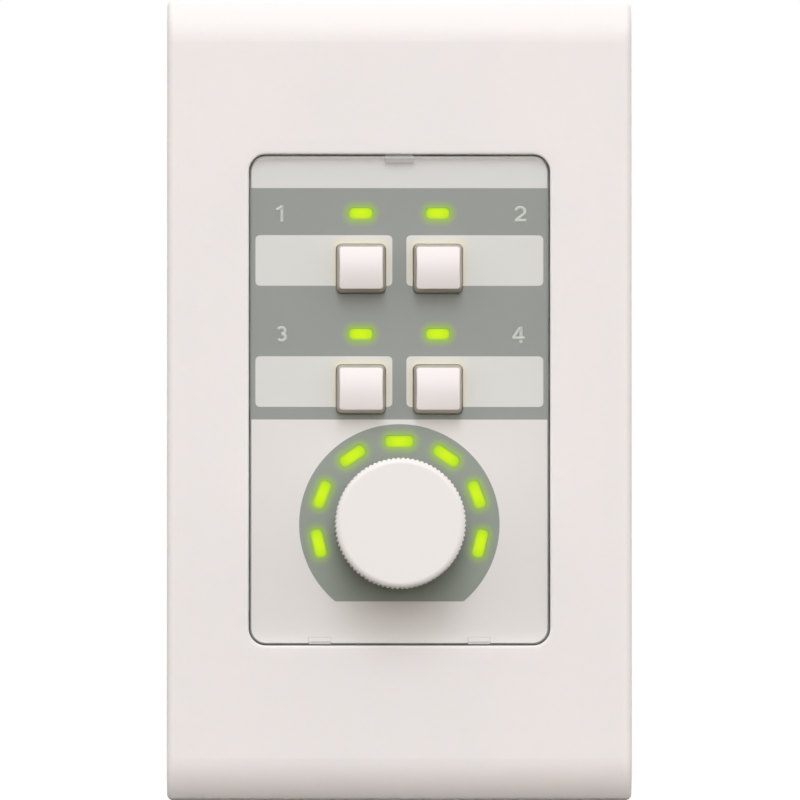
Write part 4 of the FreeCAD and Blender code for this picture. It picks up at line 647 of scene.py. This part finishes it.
def plated(name, base, cloud_tone, rough, cloud_size, lines=0.0):
    """Plated metal. rough is the least and most roughness, cloud_size the size in mm of the
    patches between them, and lines the depth in mm of rolling lines along the height."""
    material, tree, shader = start_material(name, Metallic=1.0)
    place = place_in_mm(tree)
    cloud = add_node(tree, "ShaderNodeTexNoise", {
        "Vector": place, "Scale": 1 / cloud_size, "Detail": 4.0, "Roughness": 0.6,
    })
    patch = add_node(tree, "ShaderNodeMapRange", {
        "Value": cloud, "From Min": 0.35, "From Max": 0.65,
    })
    tone = layered(tree, colour(base), colour(cloud_tone), patch)
    gloss = add_node(tree, "ShaderNodeMapRange", {
        "Value": cloud, "From Min": 0.3, "From Max": 0.7, "To Min": rough[0], "To Max": rough[1],
    })
    feed(tree, shader, Base_Color=tone, Roughness=gloss)
    if lines:
        stretched = add_node(tree, "ShaderNodeVectorMath", {
            0: place, 1: (1 / LINE_WIDTH, 1 / LINE_WIDTH, 1 / LINE_LENGTH),
        }, operation="MULTIPLY")
        rolled = add_node(tree, "ShaderNodeTexNoise", {
            "Vector": stretched, "Scale": 1.0, "Detail": 3.0,
        })
        bump = add_node(tree, "ShaderNodeBump", {"Height": rolled, "Distance": lines * MM})
        feed(tree, shader, Normal=bump)
    return material


# %% The metal pieces
zinc = plated("zinc_plated_steel", "#c3c6c8", "#aeb2b6", (0.28, 0.45), 2.5, 0.004)
dress(zinc, "mounting_yoke", "encoder_frame")
bright_zinc = plated("bright_zinc_steel", "#cfd0d0", "#bcbebf", (0.22, 0.34), 0.8)
dress(bright_zinc, "board_screws", "case_screws", "encoder_washer")
stainless = plated("stainless_sheet", "#c9c8c4", "#bdbbb7", (0.25, 0.36), 1.2, 0.002)
dress(stainless, *four("switch_cover"), "knob_clip")
nickel = plated("nickel_plated_brass", "#d3cbbb", "#c6bdac", (0.18, 0.3), 1.0)
dress(nickel, "encoder_bushing", "encoder_nut", "encoder_shaft", "board_spacers")
tinned = plated("tinned_copper", "#cccbc8", "#bfbdb8", (0.25, 0.4), 0.6)
dress(tinned, "encoder_pins")
gold = plated("gold_flashed_bronze", "#e3bb6a", "#d6ab58", (0.18, 0.3), 0.5)
dress(gold, "header_pins", "jack_in_contacts", "jack_out_contacts")

# %% [markdown]
# ## Circuit boards
#
# The boards are FR-4, a glass-cloth laminate, under a green solder mask. Copper tracks show
# through the mask as raised, lighter lines, and the sawn edge shows the bare yellowish
# laminate. The tracks here are the joints of a brick pattern, whose long straight runs with
# short crossings read as wiring. The surface normal tells the faces from the edges.

# %% Circuit boards
TRACK_WIDTH, TRACK_LENGTH, TRACK_PITCH, COPPER = 0.13, 6.4, 1.27, 0.035
fr4, tree, shader = start_material("fr4_green_mask", IOR=1.5)
place = place_in_mm(tree)
flat = add_node(tree, "ShaderNodeSeparateXYZ", {0: place})
sheet = add_node(tree, "ShaderNodeCombineXYZ", {
    "X": flat.outputs["Z"], "Y": flat.outputs["X"],
})
tracks = add_node(tree, "ShaderNodeTexBrick", {
    "Vector": sheet, "Color1": (0, 0, 0, 1), "Color2": (0, 0, 0, 1), "Mortar": (1, 1, 1, 1),
    "Scale": 1.0, "Mortar Size": TRACK_WIDTH, "Mortar Smooth": 0.3,
    "Brick Width": TRACK_LENGTH, "Row Height": TRACK_PITCH,
}, offset=0.37, offset_frequency=3)
weave = add_node(tree, "ShaderNodeTexNoise", {"Vector": place, "Scale": 1 / 0.4, "Detail": 2.0})
mask_tone = layered(tree, colour("#14563a"), colour("#1b6645"), weave)
mask_tone = layered(tree, mask_tone, colour("#2f8a5c"), tracks.outputs["Color"])
face = step_at(tree, away(tree, outward(tree)["Y"]), 0.5)
tone = layered(tree, colour("#b7a86a"), mask_tone, face)
gloss = add_node(tree, "ShaderNodeMapRange", {"Value": face, "To Min": 0.7, "To Max": 0.28})
bump = add_node(tree, "ShaderNodeBump", {
    "Height": tracks.outputs["Color"], "Distance": COPPER * MM,
})
feed(tree, shader, Base_Color=tone, Roughness=gloss, Normal=bump)
dress(fr4, "front_board", "rear_board")

# %% [markdown]
# ## Chip lamps and capacitors
#
# A chip lamp is a white ceramic body with a clear resin lens, lit green. The electrolytic
# capacitors are aluminium cans in a dark sleeve that stops short of the scored top, with a
# light stripe down the negative side.

# %% Chip lamps and capacitors
resin, tree, shader = start_material("lit_green_resin", Roughness=0.25, IOR=1.5)
place = place_in_mm(tree)
depth = add_node(tree, "ShaderNodeSeparateXYZ", {0: place}).outputs["Y"]
lens = step_at(tree, depth, centre("key_leds")[1], 0.08, rising=False)
tone = layered(tree, colour("#e9e6dc"), colour("#b9e07a"), lens)
shader.inputs["Emission Color"].default_value = colour("#a8f53a")
feed(tree, shader, Base_Color=tone, Emission_Strength=lens)
dress(resin, "key_leds", "level_leds")

# The two cans stand side by side, each CAN_SPREAD mm from the middle of the pair.
CAN_SPREAD, BARE_RADIUS, SCORE_LENGTH = 3.7, 2.75, 4.0
CAN_TOP = back_face("capacitors")
pair = centre("capacitors")
sleeve, tree, shader = start_material("sleeved_aluminium_can", Roughness=0.35)
parts = add_node(tree, "ShaderNodeSeparateXYZ", {0: place_in_mm(tree)}).outputs
can_x = add_node(tree, "ShaderNodeMath", {
    0: away(tree, parts["X"], pair[0]), 1: CAN_SPREAD,
}, operation="SUBTRACT")
can_z = add_node(tree, "ShaderNodeMath", {0: parts["Z"], 1: pair[2]}, operation="SUBTRACT")
can = add_node(tree, "ShaderNodeCombineXYZ", {"X": can_x, "Y": can_z})
reach = add_node(tree, "ShaderNodeVectorMath", {0: can}, operation="LENGTH").outputs["Value"]
bare = both(tree, step_at(tree, parts["Y"], CAN_TOP - 0.05, 0.01),
            step_at(tree, reach, BARE_RADIUS, 0.03, rising=False))
stripe = step_at(tree, can_x, BARE_RADIUS, 0.03)
tone = layered(tree, colour("#1f2226"), colour("#b9bcbe"), stripe)
tone = layered(tree, tone, colour("#c9cacb"), bare)
groove = add_node(tree, "ShaderNodeMath", {
    0: distance_to(tree, can, SCORE_LENGTH, 0), 1: distance_to(tree, can, 0, SCORE_LENGTH),
}, operation="MINIMUM")
cut = step_at(tree, groove, 0.12, 0.08)
bump = add_node(tree, "ShaderNodeBump", {"Height": cut, "Distance": 0.08 * MM})
feed(tree, shader, Base_Color=tone, Metallic=bare, Normal=bump)
dress(sleeve, "capacitors")

# %% [markdown]
# ## Geometry Nodes for what repeats
#
# Screws, solder joints and chip leads repeat, and a digit's strokes follow lines. A tree of
# geometry nodes makes each of them from one piece and a few places. Copies made in Python would
# do as well, but a tree keeps the pattern's sizes as named inputs. It ends in plain faces with
# one material.

# %% Helpers for Geometry Nodes
SOCKETS = {
    "geometry": "NodeSocketGeometry", "object": "NodeSocketObject", "number": "NodeSocketFloat",
    "count": "NodeSocketInt", "vector": "NodeSocketVector", "material": "NodeSocketMaterial",
}


def start_tree(name, **kinds):
    """An empty geometry tree with named inputs. Gives the tree and its inputs' sockets."""
    tree = bpy.data.node_groups.new(name, "GeometryNodeTree")
    for label, kind in kinds.items():
        tree.interface.new_socket(label, in_out="INPUT", socket_type=SOCKETS[kind])
    tree.interface.new_socket("result", in_out="OUTPUT", socket_type=SOCKETS["geometry"])
    return tree, tree.nodes.new("NodeGroupInput").outputs


def end_tree(tree, placed, finish):
    """Ends a tree: real faces instead of instances, and one material on them."""
    real = add_node(tree, "GeometryNodeRealizeInstances", {0: placed})
    dressed = add_node(tree, "GeometryNodeSetMaterial", {"Geometry": real, "Material": finish})
    add_node(tree, "NodeGroupOutput", {0: dressed})
    print(tree.name, "takes", ", ".join(i.name for i in tree.interface.items_tree))


def grown(name, tree, points=(), edges=(), **values):
    """The plain mesh object that a tree makes on these points, in mm, with these inputs."""
    start = bpy.data.meshes.new("points")
    start.from_pydata([Vector(p) * MM for p in points], edges, [])
    host = bpy.data.objects.new("host", start)
    bpy.context.scene.collection.objects.link(host)
    modifier = host.modifiers.new("tree", "NODES")
    modifier.node_group = tree
    for item in tree.interface.items_tree:
        if item.name in values:
            modifier[item.identifier] = values[item.name]
    graph = bpy.context.evaluated_depsgraph_get()
    mesh = bpy.data.meshes.new_from_object(host.evaluated_get(graph))
    bpy.data.objects.remove(host)
    mesh.name = name
    piece = bpy.data.objects.new(name, mesh)
    bpy.context.scene.collection.objects.link(piece)
    print(name, len(mesh.polygons), "faces")
    return piece


# %% [markdown]
# ## Printed digits
#
# Light grey digits number the four keys. They are a print too, so they could be part of the
# film's material, but a curve of few points draws a round stroke more simply. So each digit is
# a few strokes, straight lines and bows, laid out in X and Y, and a tree sweeps a flat pen along
# them and turns the drawing upright. The ink stands 0.02 mm high, and where strokes cross, the
# later one lies a little over the earlier, because two faces in one plane would flicker.

# %% A tree that draws strokes with a flat pen
pen_lines, inputs = start_tree(
    "pen_lines", strokes="geometry", pen="number", ink="number", tilt="vector", place="vector",
    finish="material",
)
nib = add_node(pen_lines, "GeometryNodeCurvePrimitiveQuadrilateral", {
    "Width": inputs["pen"], "Height": inputs["ink"],
}, mode="RECTANGLE")
paths = add_node(pen_lines, "GeometryNodeMeshToCurve", {"Mesh": inputs["strokes"]})
swept = add_node(pen_lines, "GeometryNodeCurveToMesh", {
    "Curve": paths, "Profile Curve": nib, "Fill Caps": True,
})
upright = add_node(pen_lines, "GeometryNodeTransform", {
    "Geometry": swept, "Translation": inputs["place"], "Rotation": inputs["tilt"],
})
end_tree(pen_lines, upright, inputs["finish"])


# %% Strokes of the glyphs
INK, INK_STEP = 0.02, 0.012


def bow(middle, wide, tall, start, end):
    """Points on part of an ellipse, from one angle in degrees to another."""
    count = 2 + round(abs(end - start) / 14)
    angles = [math.radians(start + (end - start) * i / count) for i in range(count + 1)]
    return [(wide * math.cos(a), middle + tall * math.sin(a)) for a in angles]


# In parts of the glyph's height, from its foot.
GLYPHS = {
    "1": [[(0.13, 0.0), (0.13, 1.0)], [(-0.2, 0.73), (-0.02, 0.79), (0.13, 0.92)]],
    "2": [bow(0.64, 0.28, 0.26, 165, -40) + [(-0.24, 0.13)], [(-0.34, 0.1), (0.37, 0.1)]],
    "3": [bow(0.71, 0.22, 0.19, 150, -90), bow(0.31, 0.25, 0.21, 90, -150)],
    "4": [[(0.14, 0.0), (0.14, 1.0)], [(0.1, 0.95), (-0.32, 0.33)], [(-0.38, 0.3), (0.37, 0.3)]],
    "O": [bow(0.5, 0.32, 0.42, 0, 360)],
    "N": [[(-0.28, 0), (-0.28, 1)], [(-0.26, 0.93), (0.26, 0.07)], [(0.28, 0), (0.28, 1)]],
}


def lettering(name, words, height, pen, tilt, depth, finish):
    """Glyphs as one mesh. words holds each glyph with the place of its foot in the drawing, and
    depth is the plane of the ink. All sizes are in mm."""
    verts, edges = [], []
    for glyph, x, foot in words:
        for layer, stroke in enumerate(GLYPHS[glyph]):
            first = len(verts)
            verts += [
                (x + across * height, foot + up * height, INK_STEP * layer) for across, up in stroke
            ]
            edges += [(first + i, first + i + 1) for i in range(len(stroke) - 1)]
    return grown(name, pen_lines, verts, edges, pen=pen * MM, ink=INK * MM, tilt=tilt,
                 place=Vector((0, depth, 0)) * MM, finish=finish)


def printed_ink(name, base, shade):
    """Ink with the fine dots of a screen print in it."""
    material, tree, shader = start_material(name, IOR=1.5, Roughness=0.5)
    dots = add_node(tree, "ShaderNodeTexNoise", {
        "Vector": place_in_mm(tree), "Scale": 1 / 0.12, "Detail": 1.0,
    })
    tree.links.new(layered(tree, colour(base), colour(shade), dots), shader.inputs["Base Color"])
    return material


# %% Digits beside the keys
TO_FRONT, TO_BACK = (math.radians(90), 0, 0), (math.radians(-90), 0, 0)
grey_ink = printed_ink("light_grey_ink", "#d3d5d1", "#c6c9c5")
words = [("1", -18.04, 26.9), ("2", 18.24, 26.84), ("3", -17.77, 8.68), ("4", 17.98, 8.6)]
digits = lettering("key_digits", words, height=2.45, pen=0.5, tilt=TO_FRONT, depth=-6.265,
                   finish=grey_ink)
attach(digits, "panel")

# %% [markdown]
# The red switch block on the rear board has its four switches numbered, and ON at the side
# where they rest. It is read from behind, and the block is soldered in upside down, so its
# drawing is turned the other way.

# %% Digits on the switch block
SLIDER_PITCH = 2.54
first_slider = centre("dip_slider_1")[0]
block_back = back_face("dip_switch_body")
pad_print = printed_ink("white_pad_print", "#ece9e2", "#dcd8cf")
words = [(str(n + 1), SLIDER_PITCH * n + first_slider, -12.7) for n in range(4)]
words += [("O", -13.7, -7.4), ("N", -12.95, -7.4)]
switch_digits = lettering("switch_digits", words, height=0.85, pen=0.13, tilt=TO_BACK,
                          depth=block_back + 0.005, finish=pad_print)
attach(switch_digits, "panel")

# %% [markdown]
# ## One piece on many points
#
# Screws and solder joints are each one shape set on a list of points. The tree turns every copy
# by its own random angle about its own axis, from a fixed seed, because nobody lines up the
# recesses of screws.

# %% A tree that sets one piece on each point
on_points, inputs = start_tree(
    "set_on_points", points="geometry", piece="object", tilt="vector", most_turn="number",
    seed="count", finish="material",
)
one_piece = add_node(on_points, "GeometryNodeObjectInfo", {"Object": inputs["piece"]})
turn = add_node(on_points, "FunctionNodeRandomValue", {
    "Min": 0.0, "Max": inputs["most_turn"], "Seed": inputs["seed"],
}, data_type="FLOAT")
seated = add_node(on_points, "GeometryNodeInstanceOnPoints", {
    "Points": inputs["points"], "Instance": one_piece.outputs["Geometry"],
    "Rotation": inputs["tilt"],
})
spun = add_node(on_points, "GeometryNodeRotateInstances", {
    "Instances": seated, "Rotation": add_node(on_points, "ShaderNodeCombineXYZ", {"Z": turn}),
    "Local Space": True,
})
end_tree(on_points, spun, inputs["finish"])

# %% [markdown]
# ## Screws
#
# The screws are zinc-plated steel with a pan head, a cross recess and a rolled thread. The
# head and the shank are profiles turned about the screw's axis. The thread is a ridge that
# climbs one pitch for each turn, so the radius depends on the angle as well as the height. A
# boolean cuts the recess, which no turned profile has.

# %% Turned shapes
def turned(mesh, profile, sides, ridge=None):
    """Turns a profile of (radius, height) points, in mm, about Z. ridge(height, angle) is
    added to the radius. A radius of 0 closes the shape with a pole."""
    rings = []
    for radius, height in profile:
        ring = []
        for i in range(sides if radius else 1):
            angle = 2 * math.pi * i / sides
            reach = radius + (ridge(height, angle) if ridge and radius else 0)
            spot = Vector((reach * math.cos(angle), reach * math.sin(angle), height))
            ring.append(mesh.verts.new(spot * MM))
        rings.append(ring)
    for low, high in zip(rings, rings[1:]):
        for i in range(sides):
            j = (i + 1) % sides
            corners = [low[k % len(low)] for k in (i, j)] + [high[k % len(high)] for k in (j, i)]
            mesh.faces.new(dict.fromkeys(corners))


def as_object(name, mesh):
    """An object from bmesh data, with its normals turned outwards."""
    bmesh.ops.recalc_face_normals(mesh, faces=mesh.faces)
    data = bpy.data.meshes.new(name)
    mesh.to_mesh(data)
    mesh.free()
    made = bpy.data.objects.new(name, data)
    bpy.context.scene.collection.objects.link(made)
    return made


# %% One screw
def cross_cutter(reach, half_width, top, depth):
    """A cross that narrows to its bottom, to cut a screw's recess."""
    w, r = half_width, reach
    outline = [(w, w), (w, r), (-w, r), (-w, w), (-r, w), (-r, -w), (-w, -w), (-w, -r), (w, -r),
               (w, -w), (r, -w), (r, w)]
    mesh = bmesh.new()
    rings = [
        [mesh.verts.new(Vector((x * size, y * size, height)) * MM) for x, y in outline]
        for size, height in ((1.15, top + 0.3), (0.4, top - depth))
    ]
    for i in range(len(outline)):
        j = (i + 1) % len(outline)
        mesh.faces.new((rings[0][i], rings[0][j], rings[1][j], rings[1][i]))
    for ring in rings:
        mesh.faces.new(ring)
    return as_object("cutter", mesh)


def pan_screw(head_radius, head_height, radius, length, pitch, threaded):
    """A pan-head screw along Z with its seat at 0 and its head upwards, in mm. The last
    threaded mm of its shank have a thread, whose crests are at the shank's radius."""
    head = bmesh.new()
    turned(head, [(0, 0), (head_radius * 0.96, 0), (head_radius, 0.12)] + [
        (head_radius * math.cos(a) ** 0.6, 0.12 + (head_height - 0.12) * math.sin(a))
        for a in (0.25, 0.5, 0.75, 1.0, 1.25)
    ] + [(0, head_height)], 32)
    screw = as_object("screw", head)
    cutter = cross_cutter(head_radius * 0.56, head_radius * 0.11, head_height, head_height * 0.75)
    cut = screw.modifiers.new("recess", "BOOLEAN")
    cut.object = cutter
    cut.solver = "EXACT"
    graph = bpy.context.evaluated_depsgraph_get()
    cut_head = bpy.data.meshes.new_from_object(screw.evaluated_get(graph))
    screw.modifiers.remove(cut)
    shank = bmesh.new()
    core = radius - 0.55 * pitch
    steps = round(threaded / pitch * 6)
    heights = [-length + 0.4 + threaded * i / steps for i in range(steps)]
    turned(shank, [(0, -length), (core * 0.7, -length)] + [(core, h) for h in heights] + [
        (radius, threaded - length + 0.6), (radius, 0.05), (0, 0.05),
    ], 20, lambda height, angle: 0 if height > threaded - length or height < 0.3 - length else (
        (radius - core) * (1 - abs(2 * ((height / pitch - angle / (2 * math.pi)) % 1) - 1))
    ))
    bmesh.ops.recalc_face_normals(shank, faces=shank.faces)
    shank.from_mesh(cut_head)
    shank.to_mesh(screw.data)
    shank.free()
    bpy.data.objects.remove(cutter)
    return screw


# %% Screws on their seats
front_board_back, rear_board_back = back_face("front_board"), back_face("rear_board")
case_screw = pan_screw(head_radius=2.7, head_height=1.9, radius=1.45, length=30.6, pitch=0.9,
                       threaded=14)
seats = [(x, back_face("case_screws") - 1.9, z) for x in (-12, 12) for z in (-30, 30)]
case_screws = grown("long_case_screws", on_points, seats, piece=case_screw, tilt=TO_BACK,
                    most_turn=1.5, seed=4, finish=bright_zinc)
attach(case_screws, "panel")
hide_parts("case_screws")
board_screw = pan_screw(head_radius=2.2, head_height=1.6, radius=1.2, length=4.6, pitch=0.5,
                        threaded=3)
seats = [(x, rear_board_back, z) for x in (-16.4, 16.4) for z in (-23.4, 22.5)]
board_screws = grown("short_board_screws", on_points, seats, piece=board_screw, tilt=TO_BACK,
                     most_turn=1.5, seed=9, finish=bright_zinc)
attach(board_screws, "panel")
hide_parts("board_screws")
for template in (case_screw, board_screw):
    bpy.data.objects.remove(template)

# %% [markdown]
# ## Solder joints
#
# Every pin that goes through a board ends in a bright cone of solder with hollow sides, as
# molten tin climbs the pin. The cones stand on the back of each board.

# %% Solder joints
mesh = bmesh.new()
turned(mesh, [(0, 0.004), (0.66, 0.004), (0.6, 0.08), (0.44, 0.26), (0.34, 0.52), (0.3, 0.8),
              (0.2, 0.9), (0, 0.93)], 10)
cone = as_object("cone", mesh)
low_pins, high_pins = -25.55, -11.95
front_pins = [(x, front_board_back, low_pins) for x in (-2.5, 0, 2.5)]
front_pins += [(x, front_board_back, high_pins) for x in (-2.5, 2.5)]
front_pins += [
    (key_x + x, front_board_back, key_z + z)
    for key_x in (-CELL[0], CELL[0]) for key_z in (KEY_LEVEL + CELL[1], KEY_LEVEL - CELL[1])
    for x in (-3.2, 3.2) for z in (-2.25, 2.25)
]
rear_pins = [(x, rear_board_back, z) for x in range(-7, 8, 2) for z in (13.5, 15.5)]
solder = plated("bright_solder", "#d2d4d6", "#b9bcc0", (0.16, 0.3), 0.4)
joints = grown("solder_joints", on_points, front_pins + rear_pins, piece=cone, tilt=TO_BACK,
               most_turn=6.0, seed=2, finish=solder)
bpy.data.objects.remove(cone)
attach(joints, "panel")

# %% [markdown]
# ## Chip leads
#
# The chips are soldered flat on the rear board by gull-wing leads: out of the body, down, and
# out again. A line of points along one side holds a row of leads, and the row is set again for
# each side, turned about the chip's middle.

# %% A tree for rows of leads
lead_rows, inputs = start_tree(
    "lead_rows", lead="object", count="count", pitch="number", sides="count", middle="vector",
    finish="material",
)
one_lead = add_node(lead_rows, "GeometryNodeObjectInfo", {"Object": inputs["lead"]})
gaps = add_node(lead_rows, "ShaderNodeMath", {0: inputs["count"], 1: 1}, operation="SUBTRACT")
span = add_node(lead_rows, "ShaderNodeMath", {0: gaps, 1: inputs["pitch"]}, operation="MULTIPLY")
first = add_node(lead_rows, "ShaderNodeMath", {0: span, 1: -0.5}, operation="MULTIPLY")
line = add_node(lead_rows, "GeometryNodeMeshLine", {
    "Count": inputs["count"],
    "Start Location": add_node(lead_rows, "ShaderNodeCombineXYZ", {"X": first}),
    "Offset": add_node(lead_rows, "ShaderNodeCombineXYZ", {"X": inputs["pitch"]}),
}, mode="OFFSET")
row = add_node(lead_rows, "GeometryNodeInstanceOnPoints", {
    "Points": line, "Instance": one_lead.outputs["Geometry"],
})
hub = add_node(lead_rows, "GeometryNodeMeshLine", {
    "Count": inputs["sides"], "Offset": (0, 0, 0),
}, mode="OFFSET")
part_turn = add_node(lead_rows, "ShaderNodeMath", {
    0: 2 * math.pi, 1: inputs["sides"],
}, operation="DIVIDE")
side_turn = add_node(lead_rows, "ShaderNodeMath", {
    0: add_node(lead_rows, "GeometryNodeInputIndex"), 1: part_turn,
}, operation="MULTIPLY")
around = add_node(lead_rows, "GeometryNodeInstanceOnPoints", {
    "Points": hub, "Instance": row,
    "Rotation": add_node(lead_rows, "ShaderNodeCombineXYZ", {"Y": side_turn}),
})
in_place = add_node(lead_rows, "GeometryNodeTranslateInstances", {
    "Instances": around, "Translation": inputs["middle"], "Local Space": False,
})
end_tree(lead_rows, in_place, inputs["finish"])


# %% Leads on the three chips
LEAD_HALF_THICKNESS = 0.065


def gull_wing(edge, width):
    """One lead that leaves a chip's side at a distance of edge mm from its middle, along Z."""
    path = [(0.75, -0.1), (0.75, 0.3), (0.62, 0.42), (0.2, 0.58), (0.07, 0.7), (0.07, 1.15)]
    mesh = bmesh.new()
    rings = []
    for step, (height, out) in enumerate(path):
        before, after = path[max(step - 1, 0)], path[min(step + 1, len(path) - 1)]
        along = Vector((0, after[0] - before[0], after[1] - before[1])).normalized()
        up = Vector((0, along.z, -along.y)) * LEAD_HALF_THICKNESS
        middle = Vector((0, height, edge + out))
        wide = Vector((width / 2, 0, 0))
        corners = [middle + wide * x + up * y for x, y in ((-1, -1), (1, -1), (1, 1), (-1, 1))]
        rings.append([mesh.verts.new(corner * MM) for corner in corners])
    for low, high in zip(rings, rings[1:]):
        for i in range(4):
            j = (i + 1) % 4
            mesh.faces.new((low[i], low[j], high[j], high[i]))
    mesh.faces.new(rings[0])
    mesh.faces.new(rings[-1])
    return as_object("lead", mesh)


chip_level, driver_level = centre("controller_chip")[2], centre("line_drivers")[2]
for name, edge, width, count, pitch, sides, x, z in (
    ("controller_leads", 5.0, 0.35, 11, 0.8, 4, 0, chip_level),
    ("driver_leads_left", 2.0, 0.42, 4, 1.27, 2, -9.2, driver_level),
    ("driver_leads_right", 2.0, 0.42, 4, 1.27, 2, 9.2, driver_level),
):
    lead = gull_wing(edge, width)
    leads = grown(name, lead_rows, lead=lead, count=count, pitch=pitch * MM, sides=sides,
                  middle=Vector((x, rear_board_back, z)) * MM, finish=tinned)
    bpy.data.objects.remove(lead)
    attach(leads, "panel")
